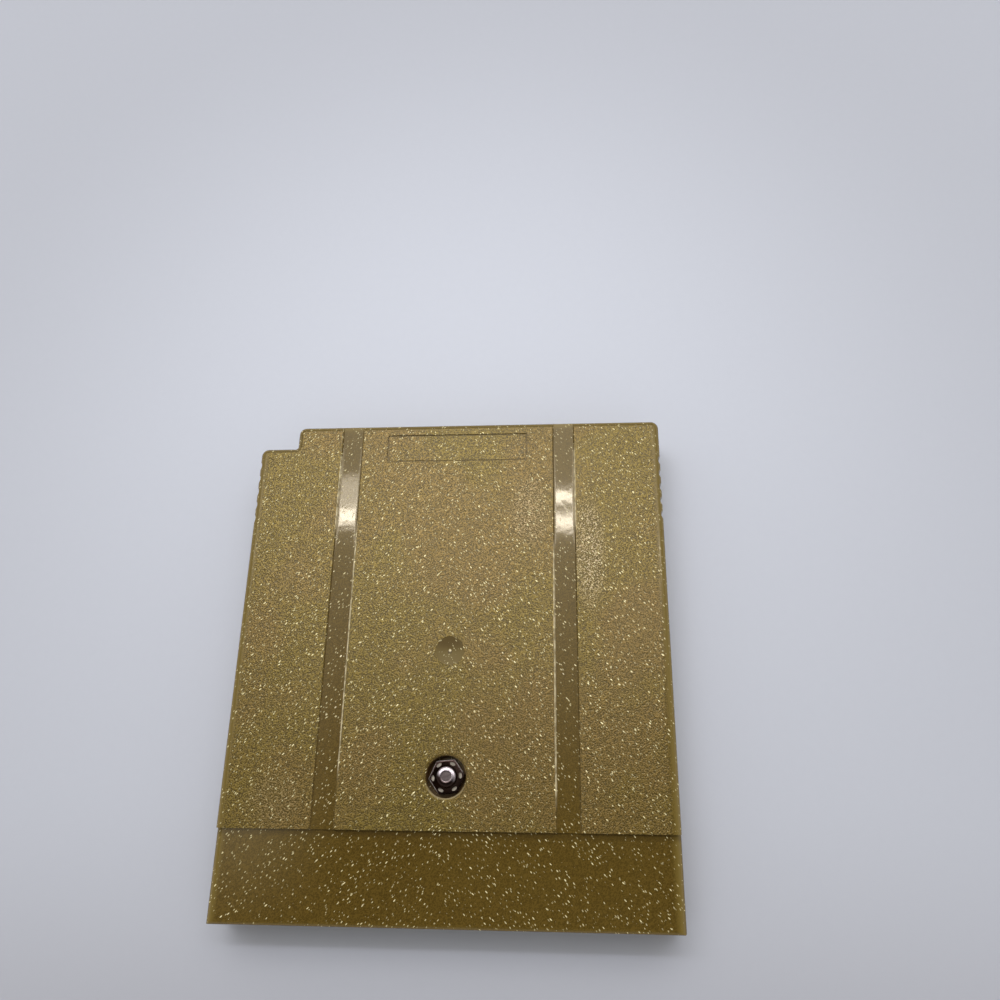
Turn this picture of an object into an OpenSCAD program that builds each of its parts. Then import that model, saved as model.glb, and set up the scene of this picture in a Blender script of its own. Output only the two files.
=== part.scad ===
// Game cartridge for a hand-held console, lying on its label face with its back face up.
// X runs across the cartridge, Y from the connector mouth to the closed end, Z from the label
// face to the back face. The origin is under the middle of the cartridge, on the table.

/* [Cartridge body] */
// Width across the two grip sides
cart_w = 57; // [54:0.5:66]
// Length from the connector mouth to the closed end
cart_h = 65.2; // [62:0.2:78]
// Thickness from the label face to the back face
cart_t = 7.8; // [7.6:0.1:10]
// Width of the notch at one corner of the closed end
notch_w = 5.25; // [4:0.25:8]
// Depth of the notch, along the length
notch_h = 3.3; // [2.5:0.1:5]
// Radius of the outer corners, seen from the back
corner_r = 1.05; // [0.9:0.05:1.6]
// Radius of the corner inside the notch
notch_r = 0.3; // [0.1:0.1:0.8]
// Radius of the two corners at the mouth
mouth_corner_r = 0.3; // [0.1:0.1:1]
// Rounding of the rim of the back face
back_edge_r = 0.8; // [0.3:0.1:1]
// Rounding of the rim of the label face
front_edge_r = 0.6; // [0.3:0.1:1]
// Rounding of both faces where they end at the mouth
mouth_edge_r = 0.4; // [0.2:0.1:0.8]

/* [Walls] */
// Thickness of the side walls of the front half
wall = 1.5; // [1.2:0.1:2.5]
// Thickness of the front half behind the label face
front_skin = 1.3; // [1.1:0.1:1.8]
// Thickness of the rear half under the back face
rear_skin = 1.6; // [1.2:0.1:2]
// Depth of the rear half's walls, from the back face to the seam
rear_depth = 3.5; // [3:0.1:4]
// Thickness of the rear half's lip, which stands inside the front half
lip_t = 0.7; // [0.5:0.1:1.2]
// Height of that lip past the seam
lip_h = 0.8; // [0.5:0.1:1.2]
// Clearance between pieces that slide together
fit_gap = 0.1; // [0.05:0.05:0.3]
// Distance from the middle to each hook at the closed end
hook_x = 11; // [6:0.5:18]
// Width of a hook
hook_w = 6; // [3:0.5:8]
// Depth of a hook's tip below the seam
hook_drop = 1.9; // [1.4:0.1:2.4]
// Reach of a hook's tip into the end wall of the front half
hook_reach = 0.5; // [0.3:0.1:0.8]
// Thickness of a hook's tip
hook_t = 0.6; // [0.4:0.1:0.8]

/* [Back face] */
// Distance from the middle to the centre line of each long channel
channel_x = 15.08; // [12:0.5:18]
// Width of a channel at the face
channel_w = 2.9; // [2:0.1:4]
// Depth of a channel
channel_depth = 0.22; // [0.2:0.02:0.5]
// Rounding of the channels' edges, along the face and along the floor
channel_r = 0.1; // [0.05:0.01:0.1]
// Length of the low band along the mouth
band_h = 10.75; // [8:0.25:14]
// Depth of that band below the back face
band_depth = 0.5; // [0.3:0.05:0.7]
// Width of the sunk window near the closed end, left blank
window_w = 20; // [12:0.5:24]
// Height of that window
window_h = 4.2; // [3:0.1:6]
// Depth of the window
window_depth = 0.08; // [0.04:0.02:0.2]
// Width of the thin groove that frames the window
frame_w = 0.26; // [0.1:0.02:0.5]
// Depth of that groove below the back face
frame_depth = 0.14; // [0.1:0.02:0.4]
// Radius of the window's corners
window_r = 0.3; // [0.1:0.1:1]
// Distance from the closed end to the middle of the window
window_drop = 3.75; // [3.5:0.25:8]
// Radius of the round gate dish in the middle of the face
dish_r = 1.85; // [1:0.05:3]
// Depth of the dish
dish_depth = 0.12; // [0.1:0.02:0.3]
// Radius of the gate stub left in the dish
stub_r = 0.22; // [0.1:0.02:0.5]
// Height of that round-topped stub above the deepest point
stub_h = 0.1; // [0.06:0.02:0.1]

/* [Grip] */
// Number of grooves on each side
groove_count = 5; // [3:1:6]
// Distance between grooves
groove_pitch = 2; // [1.8:0.1:2.5]
// Radius of a groove
groove_r = 0.78; // [0.5:0.02:0.9]
// Depth of a groove
groove_depth = 0.35; // [0.2:0.05:0.45]
// Distance from the closed end to the first groove
groove_drop = 5.95; // [5:0.05:9]
// Length of the grooves across the label face, from each side
groove_run = 7.5; // [5:0.5:8]

/* [Label face] */
// Width of the shallow bed for a label, left bare
bed_w = 42.4; // [36:0.2:48]
// Length of that bed
bed_h = 37.4; // [30:0.2:42]
// Depth of that bed
bed_depth = 0.3; // [0.1:0.05:0.5]
// Radius of its corners
bed_r = 2; // [1:0.25:4]
// Distance from the mouth to the near edge of the bed
bed_from_mouth = 11.35; // [9:0.05:14]
// Length of the pill-shaped panel above the bed
pill_w = 39; // [30:0.5:40]
// Height of that panel
pill_h = 7; // [5:0.25:8]
// Depth of that panel
pill_depth = 0.5; // [0.2:0.05:0.6]
// Distance from the closed end to the middle of the panel
pill_drop = 9.95; // [8:0.05:11]
// Width of the insertion arrow
arrow_w = 5; // [3:0.25:8]
// Length of the insertion arrow
arrow_h = 3.5; // [2:0.25:5]
// Distance from the mouth to the arrow's tip
arrow_from_mouth = 4.9; // [3:0.1:6]
// Depth of the arrow
arrow_depth = 0.3; // [0.1:0.05:0.5]

/* [Screw] */
// Distance from the mouth to the screw
screw_from_mouth = 17.05; // [14:0.25:22]
// Radius of the well that the screw head sits in
well_r = 2.5; // [2.5:0.1:3.2]
// Depth of the well
well_depth = 2.3; // [2:0.1:3]
// Rounding of the rim of the well
well_rim_r = 0.3; // [0.1:0.05:0.5]
// Thickness of the boss around and under the well
boss_wall = 0.8; // [0.6:0.1:1.2]
// Radius of the post in the front half that takes the screw
post_r = 2.9; // [2.4:0.1:3.3]
// Radius of the screw's shank
shank_r = 1.15; // [0.9:0.05:1.4]
// Length of the screw's shank
shank_l = 3.0; // [2.6:0.1:3.3]
// Distance from the screw's axis to the corners of its head
head_r = 2.3; // [2.1:0.05:2.4]
// Height of the screw head
head_h = 2.05; // [1.7:0.05:2.2]
// Radius of the round hub in the middle of the head
hub_r = 1.28; // [1.1:0.02:1.4]
// Height of the head's rim
rim_h = 1.3; // [0.6:0.05:1.5]
// Number of the head's corners, each with a key pocket inside it
pocket_count = 6; // [5:1:8]
// Distance of the pockets from the screw's axis
pocket_at = 1.71; // [1.5:0.01:1.8]
// Width of a pocket, towards the axis
pocket_w = 0.38; // [0.2:0.02:0.5]
// Length of a pocket, around the axis
pocket_l = 0.7; // [0.4:0.02:0.9]
// Depth of a pocket below the head's rim
pocket_depth = 0.15; // [0.05:0.05:0.4]

/* [Circuit board] */
// Thickness of the board
board_t = 0.8; // [0.6:0.1:1.2]
// Distance from the mouth to the board's contact edge
board_from_mouth = 1.2; // [0.5:0.1:3]
// Distance from the closed end to the board's far edge
board_from_end = 10.1; // [9:0.1:11]
// Height of the ribs in the rear half that the board bears on
rib_h = 0.6; // [0.3:0.1:1]
// Thickness of the ribs and of the rails beside the board
rib_t = 0.9; // [0.6:0.1:1.2]
// Clearance around the board and its boss
board_gap = 0.15; // [0.1:0.05:0.4]
// Length of the ribs in the rear half
press_rib_l = 26; // [10:1:28]
// Distance of each of those ribs from the middle
press_rib_x = 18; // [12:0.5:20]
// Length of each ledge under the sides of the board
rail_l = 4; // [2:0.5:8]
// Width of the ledge under each side of the board
ledge_w = 1.6; // [1:0.1:1.8]
// Number of edge contacts
contact_count = 32; // [8:1:32]
// Distance between contacts
contact_pitch = 1.5; // [1.2:0.05:1.5]
// Width of a contact
contact_w = 1.0; // [0.6:0.05:1.1]
// Length of a contact
contact_l = 5.5; // [3:0.25:6]
// Distance of the contacts from the board's edge
contact_inset = 0.3; // [0.1:0.1:1]
// Thickness of a contact
contact_t = 0.05; // [0.03:0.01:0.1]
// Half the width of the mouth beside the contact edge, past the contacts
mouth_margin = 1.25; // [1:0.05:2]
// Length of the solid cheeks beside the mouth
cheek_l = 3.5; // [2:0.25:5]

/* [Parts on the board] */
// Width, length and height of the program memory's package
rom_size = [11.2, 20.8, 2.3]; // [2:0.1:21]
// Number of leads along each of its long sides
rom_leads = 16; // [10:1:16]
// Width, length and height of the save memory's package
ram_size = [8.4, 18, 2.2]; // [2:0.1:19]
// Number of leads along each of its long sides
ram_leads = 14; // [8:1:14]
// Width, length and height of the memory controller's package
controller_size = [7, 7, 1.5]; // [1:0.1:8]
// Number of leads along each of its four sides
controller_leads = 8; // [4:1:8]
// Width, length and height of the battery monitor's package
monitor_size = [3.9, 5, 1.5]; // [1:0.1:5]
// Number of leads along each of its long sides
monitor_leads = 4; // [2:1:4]
// Pitch of the leads of the larger packages
lead_pitch = 1.27; // [1:0.01:1.27]
// Pitch of the leads of the memory controller
fine_pitch = 0.8; // [0.6:0.05:0.8]
// Thickness of the leads and of the battery tabs
lead_t = 0.15; // [0.1:0.01:0.2]
// Reach of a lead past its package
lead_reach = 1.3; // [1:0.05:1.5]
// Radius of the backup battery
cell_r = 10; // [8:0.5:10]
// Thickness of the backup battery
cell_t = 2.5; // [1.6:0.1:2.6]
// Width of the battery tabs
tab_w = 4; // [2:0.5:5]
// Radius of the clock crystal's can
can_r = 1; // [0.7:0.05:1.2]
// Length of the clock crystal's can
can_l = 6; // [4:0.25:7]
// Length, width and height of a chip capacitor
cap_size = [2, 1.25, 1]; // [0.5:0.05:2.2]
// Length, width and height of a chip resistor
res_size = [1.6, 0.8, 0.45]; // [0.3:0.05:2]

/* [Hidden] */
$fn = 64;

// A short overshoot, so that cutters pass clean through a face
over = 1;
// How far the blocks of one moulding reach into each other
lap = 0.1;

// The outline
side_x = cart_w / 2;
end_y = cart_h / 2;
mouth_y = -end_y;
notch_x = -side_x + notch_w;
notch_y = end_y - notch_h;
step_y = mouth_y + band_h;

// Levels, from the label face up
seam_z = cart_t - rear_depth;
inner_z = cart_t - rear_skin;
board_top_z = inner_z - rib_h;
board_z = board_top_z - board_t;
band_z = cart_t - band_depth;
seat_z = cart_t - well_depth;
post_z = seat_z - boss_wall;

// The rear half's walls are thicker by the lip that goes down inside the front half
lip_inset = wall + fit_gap;
rear_inset = lip_inset + lip_t;
cheek_y = mouth_y + cheek_l;

// The screw
screw_y = mouth_y + screw_from_mouth;
hole_r = shank_r + 0.25;
pilot_r = shank_r + 0.03;
boss_r = well_r + boss_wall;
first_pocket = 6;

// The board lies between rails on the front half and ribs in the rear half
rail_x = side_x - rear_inset - 2 * fit_gap;
board_x = rail_x - rib_t - board_gap;
board_y0 = mouth_y + board_from_mouth;
board_y1 = end_y - board_from_end;
contact_span = (contact_count - 1) * contact_pitch + contact_w;
tongue_x = contact_span / 2 + mouth_margin / 2;
mouth_x = contact_span / 2 + mouth_margin;
tongue_y = board_y0 + contact_l + cheek_l;

// Places of the parts on the board, as seen from the back. The battery and the controller keep
// their distance from the closed end, the two memories lie midway between them and the
// contacts, the monitor lies midway between the memories, and each small part keeps by a
// large one.
contacts_y1 = board_y0 + contact_inset + contact_l;
cell_at = [board_x - cell_r - 6.35, board_y1 - cell_r - 1.9];
controller_at = [-board_x + 10.75, board_y1 - 10.1];
rom_at = [-board_x + 11.15,
          (contacts_y1 + controller_at[1] - controller_size[1] / 2 - lead_reach) / 2];
ram_at = [board_x - 12.95, (contacts_y1 + cell_at[1] - cell_r) / 2];
monitor_at = [(rom_at[0] + rom_size[0] / 2 + ram_at[0] - ram_size[0] / 2) / 2,
              cell_at[1] - cell_r - 1.6];
crystal_at = cell_at + [-cell_r - 4, 3];
cap_at = [
    [-board_x + 4.2, controller_at[1] - 7.2], rom_at + [9.4, 1.2],
    [board_x - 4.6, ram_at[1] + 4.8], [board_x - 4.2, board_y1 - 2.4]
];
res_at = [controller_at + [5.6, -6.8], ram_at + [-7.4, 7.2], [-board_x + 4.2, board_y1 - 3.9]];

// Parts of sections

// A wall section standing on y = 0 with its outer face at x = 0 and a rounded outer top edge
module edge_section(w, h, r) {
    if (h > r) square([w, h - r]);
    translate([r, h - r]) square([w - r, r]);
    intersection() {
        translate([r, h - r]) circle(r);
        translate([0, h - r]) square([r, r]);
    }
}

// A section of full width with both upper edges rounded
module plate_section(w, h, r) {
    translate([-w / 2, 0]) edge_section(w / 2, h, r);
    mirror([1, 0]) translate([-w / 2, 0]) edge_section(w / 2, h, r);
}

// A rectangle with round corners, centred
module round_rect(w, h, r) {
    square([w - 2 * r, h], center = true);
    square([w, h - 2 * r], center = true);
    for (x = [-1, 1], y = [-1, 1])
        translate([x * (w / 2 - r), y * (h / 2 - r)]) circle(r);
}

// The cartridge's outline pulled in by i, from the level y0 up to the closed end
module inset_outline(i, y0) {
    polygon([
        [side_x - i, y0], [side_x - i, end_y - i],
        [notch_x + i, end_y - i], [notch_x + i, notch_y - i],
        [-side_x + i, notch_y - i], [-side_x + i, y0]
    ]);
}

// The moulded plate with its rolled rim

// A straight stretch of rim that starts at a point and runs along an angle, material to its left
module rim_run(at, angle, l, h, r) {
    translate(at) rotate(angle) rotate([90, 0, 90])
        linear_extrude(l) edge_section(corner_r, h, r);
}

// A rounded outer corner of the rim, turned about its centre
module rim_corner(at, angle, h, r) {
    translate(at) rotate(angle) rotate_extrude(angle = 90)
        translate([corner_r, 0]) mirror([1, 0]) edge_section(corner_r, h, r);
}

// The rim around the inside corner of the notch, with what lies behind it
module rim_notch(h, r) {
    reach = notch_r + corner_r;
    translate([notch_x - notch_r, notch_y + notch_r]) {
        rotate(-90) rotate_extrude(angle = 90)
            translate([notch_r, 0]) edge_section(corner_r, h, r);
        linear_extrude(h) difference() {
            translate([0, -reach]) square(reach);
            circle(reach - lap);
        }
    }
}

// Everything from the step up to the closed end, with a rolled rim on its upper face
module end_plate(h, edge) {
    r = min(edge, corner_r - 2 * lap);
    c = corner_r;
    linear_extrude(h) inset_outline(c - lap, step_y);
    rim_run([side_x, step_y], 90, end_y - c - step_y, h, r);
    rim_corner([side_x - c, end_y - c], 0, h, r);
    rim_run([side_x - c, end_y], 180, side_x - notch_x - 2 * c, h, r);
    rim_corner([notch_x + c, end_y - c], 90, h, r);
    rim_run([notch_x, end_y - c], 270, notch_h - c - notch_r, h, r);
    rim_notch(h, r);
    rim_run([notch_x - notch_r, notch_y], 180, notch_w - c - notch_r, h, r);
    rim_corner([-side_x + c, notch_y - c], 90, h, r);
    rim_run([-side_x, notch_y - c], 270, notch_y - c - step_y, h, r);
}

// Everything from the mouth up to the step
module mouth_plate(h, edge) {
    intersection() {
        translate([0, step_y + lap, 0]) rotate([90, 0, 0])
            linear_extrude(band_h + lap) plate_section(cart_w, h, edge);
        translate([-side_x, mouth_y, 0]) rotate([90, 0, 90])
            linear_extrude(cart_w) edge_section(band_h + lap, h, mouth_edge_r);
        linear_extrude(h) mouth_outline();
    }
}

// The outline between the mouth and the step
module mouth_outline() {
    r = mouth_corner_r;
    translate([-side_x + r, mouth_y]) square([cart_w - 2 * r, band_h + lap]);
    translate([-side_x, mouth_y + r]) square([cart_w, band_h + lap - r]);
    for (x = [-1, 1]) translate([x * (side_x - r), mouth_y + r]) circle(r);
}

// Finger grooves down both sides, through the whole thickness
module grip_grooves() {
    for (i = [0:groove_count - 1], x = [-1, 1])
        translate([x * (side_x - groove_depth + groove_r),
                   end_y - groove_drop - i * groove_pitch, -over])
            cylinder(r = groove_r, h = cart_t + 2 * over);
}

// The mouth that the console's connector enters, between two levels
module mouth_opening(z0, z1) {
    translate([-mouth_x, mouth_y - over, z0])
        cube([2 * mouth_x, cheek_l + 2 * over, z1 - z0]);
}

// The rear half

// The section of a channel's cutter: round along the floor, and flared round onto the face
module channel_section() {
    half = channel_w / 2;
    r = channel_r;
    translate([-half + r, -channel_depth]) square([channel_w - 2 * r, channel_depth + over]);
    translate([-half, r - channel_depth]) square([channel_w, channel_depth - r + over]);
    for (x = [-1, 1]) {
        translate([x * (half - r), r - channel_depth]) circle(r);
        difference() {
            translate([x * half - (x < 0 ? r : 0), -r]) square([r, r + over]);
            translate([x * (half + r), -r]) circle(r);
        }
    }
}

// A long channel, from the step to the closed end
module back_channel() {
    translate([0, end_y + over, cart_t]) rotate([90, 0, 0])
        linear_extrude(end_y - step_y + 2 * over) channel_section();
}

// The shallow window and the thin groove around it
module framed_window() {
    translate([0, 0, cart_t - window_depth])
        linear_extrude(over) round_rect(window_w, window_h, window_r);
    translate([0, 0, cart_t - frame_depth]) linear_extrude(over) difference() {
        round_rect(window_w, window_h, window_r);
        square([window_w - 2 * frame_w, window_h - 2 * frame_w], center = true);
    }
}

// The screw's well, with a rounded rim, and the hole under it
module screw_well() {
    translate([0, screw_y, 0]) {
        translate([0, 0, seat_z]) cylinder(r = well_r, h = well_depth + over);
        translate([0, 0, post_z - over]) cylinder(r = hole_r, h = cart_t);
        translate([0, 0, cart_t - well_rim_r]) rotate_extrude()
            difference() {
                square([well_r + well_rim_r, well_rim_r + over]);
                translate([well_r + well_rim_r, 0]) circle(well_rim_r);
            }
    }
}

// The gate dish: a shallow part of a ball
module gate_dish() {
    ball_r = (pow(dish_r, 2) + pow(dish_depth, 2)) / (2 * dish_depth);
    translate([0, 0, cart_t - dish_depth + ball_r]) sphere(ball_r);
}

// A hook that reaches down from the lip and into the front half's end wall
module end_hook() {
    y = end_y - rear_inset;
    translate([-hook_w / 2, y, seam_z - hook_drop])
        cube([hook_w, lip_t, hook_drop + 0.5]);
    translate([-hook_w / 2, y, seam_z - hook_drop])
        cube([hook_w, lip_t + fit_gap + hook_reach, hook_t]);
}

module rear_shell() color("#8c7b41") {
    difference() {
        union() {
            translate([0, 0, seam_z]) {
                end_plate(rear_depth, back_edge_r);
                mouth_plate(rear_depth - band_depth, back_edge_r);
            }
            translate([0, 0, seam_z - lip_h]) linear_extrude(lip_h)
                inset_outline(lip_inset, cheek_y + fit_gap);
        }
        // The hollow behind the back face
        translate([0, 0, seam_z - lip_h - over])
            linear_extrude(inner_z - seam_z + lip_h + over)
                inset_outline(rear_inset, cheek_y);
        translate([0, 0, seam_z - lip_h - over]) linear_extrude(lip_h + over)
            translate([0, cheek_y + over])
                square([2 * (side_x - rear_inset), 3 * over], center = true);
        mouth_opening(seam_z - over, inner_z);
        grip_grooves();
        for (x = [-1, 1]) translate([x * channel_x, 0, 0]) back_channel();
        translate([0, end_y - window_drop, 0]) framed_window();
        gate_dish();
        screw_well();
    }
    translate([0, 0, cart_t - dish_depth + stub_h - stub_r]) sphere(stub_r);
    // The boss that closes on the front half's post
    difference() {
        translate([0, screw_y, post_z]) cylinder(r = boss_r, h = inner_z - post_z);
        screw_well();
    }
    for (x = [-1, 1]) translate([x * hook_x, 0, 0]) end_hook();
    // Ribs that hold the board down
    for (x = [-1, 1])
        translate([x * press_rib_x - rib_t / 2, board_y1 - rail_l - press_rib_l, board_top_z])
            cube([rib_t, press_rib_l, rib_h]);
}

// The front half

// A finger groove across the label face, cut from the side inwards
module face_groove() {
    translate([side_x - groove_run, 0, groove_depth - groove_r]) {
        rotate([0, 90, 0]) cylinder(r = groove_r, h = groove_run + over);
        sphere(groove_r);
    }
}

// One corner block of the rail that carries the board: a ledge and a wall beside it
module board_rail() {
    translate([board_x - ledge_w, 0, front_skin])
        cube([ledge_w + board_gap + rib_t, rail_l, board_z - front_skin]);
    translate([board_x + board_gap, 0, front_skin])
        cube([rib_t, rail_l, board_top_z - front_skin]);
}

module front_shell() color("#8c7b41") {
    difference() {
        translate([0, 0, seam_z]) mirror([0, 0, 1]) {
            end_plate(seam_z, front_edge_r);
            mouth_plate(seam_z, front_edge_r);
        }
        translate([0, 0, front_skin]) linear_extrude(seam_z)
            inset_outline(wall, cheek_y);
        mouth_opening(front_skin, seam_z + over);
        grip_grooves();
        for (i = [0:groove_count - 1])
            translate([0, end_y - groove_drop - i * groove_pitch, 0]) {
                face_groove();
                mirror([1, 0, 0]) face_groove();
            }
        // The pill-shaped panel, the bed for a label and the insertion arrow
        translate([0, end_y - pill_drop, -over]) linear_extrude(pill_depth + over)
            round_rect(pill_w, pill_h, pill_h / 2 - 0.01);
        translate([0, mouth_y + bed_from_mouth + bed_h / 2, -over])
            linear_extrude(bed_depth + over) round_rect(bed_w, bed_h, bed_r);
        translate([0, mouth_y + arrow_from_mouth, -over])
            linear_extrude(arrow_depth + over)
                polygon([[0, 0], [arrow_w / 2, arrow_h], [-arrow_w / 2, arrow_h]]);
        // Pockets for the rear half's hooks
        for (x = [-1, 1])
            translate([x * hook_x - hook_w / 2 - fit_gap, end_y - wall - over,
                       seam_z - hook_drop - fit_gap])
                cube([hook_w + 2 * fit_gap, hook_reach + 2 * fit_gap + over,
                      hook_t + 2 * fit_gap]);
    }
    difference() {
        translate([0, screw_y, front_skin]) cylinder(r = post_r, h = post_z - front_skin);
        translate([0, screw_y, seat_z - shank_l - 0.3]) cylinder(r = pilot_r, h = cart_t);
    }
    for (x = [0, 1], y = [board_y1 - rail_l - 1, screw_y - rail_l / 2])
        mirror([x, 0, 0]) translate([0, y, 0]) board_rail();
}

// The screw

// A key pocket: a short slot with round ends
module key_pocket() {
    translate([pocket_at, 0, rim_h - pocket_depth]) linear_extrude(head_h) {
        square([pocket_w, pocket_l - pocket_w], center = true);
        for (y = [-1, 1])
            translate([0, y * (pocket_l - pocket_w) / 2]) circle(pocket_w / 2);
    }
}

// Half the section of the screw: shank with a blunt point, slope and round-shouldered hub
module screw_section() {
    shoulder_z = rim_h + (head_h - rim_h) * 0.3;
    hub_edge = (head_h - rim_h) * 0.5;
    slope_r = head_r * cos(180 / pocket_count) - 0.1;
    polygon([
        [0, -shank_l], [shank_r * 0.4, -shank_l], [shank_r, shank_r - shank_l], [shank_r, 0],
        [slope_r, 0], [slope_r, rim_h], [hub_r, shoulder_z], [hub_r, head_h - hub_edge],
        [0, head_h - hub_edge]
    ]);
    translate([hub_r, head_h - hub_edge]) mirror([1, 0])
        edge_section(hub_r, hub_edge, hub_edge);
}

// The head's rim, with a corner outside each key pocket
module head_rim() {
    linear_extrude(rim_h) polygon([
        for (i = [0:pocket_count - 1])
            head_r * [cos(i * 360 / pocket_count), sin(i * 360 / pocket_count)]
    ]);
}

module case_screw() color("#9a9590")
    translate([0, screw_y, seat_z]) rotate(first_pocket) difference() {
        union() {
            rotate_extrude() screw_section();
            head_rim();
        }
        for (i = [0:pocket_count - 1]) rotate(i * 360 / pocket_count) key_pocket();
    }

// The circuit board and what is soldered to it

module circuit_board() color("#2f6b3c") difference() {
    union() {
        translate([-board_x, tongue_y, board_z])
            cube([2 * board_x, board_y1 - tongue_y, board_t]);
        translate([-tongue_x, board_y0, board_z])
            cube([2 * tongue_x, tongue_y - board_y0, board_t]);
    }
    translate([0, screw_y, board_z - over])
        cylinder(r = boss_r + 2 * board_gap, h = board_t + 2 * over);
}

// Places children on the underside of the board, growing down
module under_board(at) {
    translate([at[0], at[1], board_z]) mirror([0, 0, 1]) children();
}

module edge_contacts() color("#c9a24b")
    for (i = [0:contact_count - 1])
        under_board([(i - (contact_count - 1) / 2) * contact_pitch, board_y0 + contact_inset])
            translate([-contact_w / 2, 0, 0]) cube([contact_w, contact_l, contact_t]);

// A moulded package, held a little off the board by its leads
module package(size) {
    lift = 0.1;
    translate([-size[0] / 2, -size[1] / 2, lift]) cube([size[0], size[1], size[2] - lift]);
}

// One bent lead that leaves the package's side at half its height and stands on the board
module gull_lead(half, height, w) {
    mid = height / 2;
    rotate([90, 0, 0]) translate([half, 0, -w / 2]) linear_extrude(w)
        polygon([
            [0, mid], [lead_reach * 0.3, mid], [lead_reach * 0.5, lead_t],
            [lead_reach, lead_t], [lead_reach, 0], [lead_reach * 0.4, 0],
            [lead_reach * 0.2, mid - lead_t], [0, mid - lead_t]
        ]);
}

// A row of leads down each of the two long sides
module lead_rows(half, height, count, pitch, w) {
    for (i = [0:count - 1], side = [0, 180])
        rotate(side) translate([0, (i - (count - 1) / 2) * pitch, 0])
            gull_lead(half, height, w);
}

module program_rom() color("#2b2b2d") under_board(rom_at) package(rom_size);
module save_ram() color("#2b2b2d") under_board(ram_at) package(ram_size);
module memory_controller() color("#2b2b2d")
    under_board(controller_at) package(controller_size);
module battery_monitor() color("#2b2b2d") under_board(monitor_at) package(monitor_size);

module program_rom_leads() color("#b9babd") under_board(rom_at)
    lead_rows(rom_size[0] / 2, rom_size[2], rom_leads, lead_pitch, 0.42);
module save_ram_leads() color("#b9babd") under_board(ram_at)
    lead_rows(ram_size[0] / 2, ram_size[2], ram_leads, lead_pitch, 0.42);
module battery_monitor_leads() color("#b9babd") under_board(monitor_at)
    lead_rows(monitor_size[0] / 2, monitor_size[2], monitor_leads, lead_pitch, 0.42);
module memory_controller_leads() color("#b9babd") under_board(controller_at)
    for (turn = [0, 90])
        rotate(turn) lead_rows(controller_size[turn / 90] / 2, controller_size[2],
                               controller_leads, fine_pitch, 0.3);

// A coin cell: the cap faces the board and the can faces away from it
module backup_battery() color("#b8babc") under_board(cell_at) translate([0, 0, lead_t]) {
    cap_h = 0.3;
    cylinder(r = cell_r - 1.2, h = cell_t);
    translate([0, 0, cap_h]) cylinder(r = cell_r, h = cell_t - cap_h);
}

module battery_tab_negative() color("#c4c5c8") under_board(cell_at)
    translate([-cell_r - 2, -tab_w / 2, 0]) cube([cell_r, tab_w, lead_t]);

// The strip over the can, with a leg down to the board past the cell's edge
module battery_tab_positive() color("#c4c5c8") under_board(cell_at)
    translate([-tab_w / 2, 0, 0]) rotate([90, 0, 90]) linear_extrude(tab_w) {
        top = lead_t + cell_t;
        leg = cell_r + 0.5;
        polygon([
            [-2, top], [leg, top], [leg, 0], [leg + 1.1, 0], [leg + 1.1, lead_t],
            [leg + lead_t, lead_t], [leg + lead_t, top + lead_t], [-2, top + lead_t]
        ]);
    }

module clock_crystal() color("#c9cacc") under_board(crystal_at)
    translate([0, can_l / 2, can_r]) rotate([90, 0, 0]) cylinder(r = can_r, h = can_l);

// Two wires from the end of the can, bent down to the board
module crystal_leads() color("#b9babd") under_board(crystal_at)
    for (x = [-1, 1]) translate([x * can_r * 0.4, -can_l / 2, can_r]) {
        wire_r = lead_t;
        reach = 1.2;
        rotate([90, 0, 0]) cylinder(r = wire_r, h = reach);
        translate([0, -reach, 0]) sphere(wire_r);
        translate([0, -reach, -can_r]) cylinder(r = wire_r, h = can_r);
    }

// A soldered chip: end caps a little larger than the body between them
module chip(size) {
    cap_l = size[0] * 0.22;
    lift = 0.04;
    translate([-size[0] / 2 + cap_l, -size[1] / 2 + lift, lift])
        cube([size[0] - 2 * cap_l, size[1] - 2 * lift, size[2] - 2 * lift]);
    for (x = [-size[0] / 2, size[0] / 2 - cap_l])
        translate([x, -size[1] / 2, 0]) cube([cap_l, size[1], size[2]]);
}

module capacitor(i) color("#a98a62") under_board(cap_at[i]) chip(cap_size);
module resistor(i) color("#3a3a3e") under_board(res_at[i]) chip(res_size);

rear_shell();
front_shell();
case_screw();
circuit_board();
edge_contacts();
program_rom();
program_rom_leads();
memory_controller();
memory_controller_leads();
save_ram();
save_ram_leads();
battery_monitor();
battery_monitor_leads();
backup_battery();
battery_tab_positive();
battery_tab_negative();
clock_crystal();
crystal_leads();
capacitor(0);  // capacitor_1
capacitor(1);  // capacitor_2
capacitor(2);  // capacitor_3
capacitor(3);  // capacitor_4
resistor(0);  // resistor_1
resistor(1);  // resistor_2
resistor(2);  // resistor_3
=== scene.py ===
"""Looks of a game cartridge that lies on its label face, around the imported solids.

Lengths in the classes are millimetres, as on a drawing, and `MM` turns them into metres.
"""
import logging
import math
from collections.abc import Sequence
from dataclasses import dataclass
from enum import Enum
from functools import cached_property, reduce

import bmesh
import bpy
from mathutils import Matrix, Vector


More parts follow.
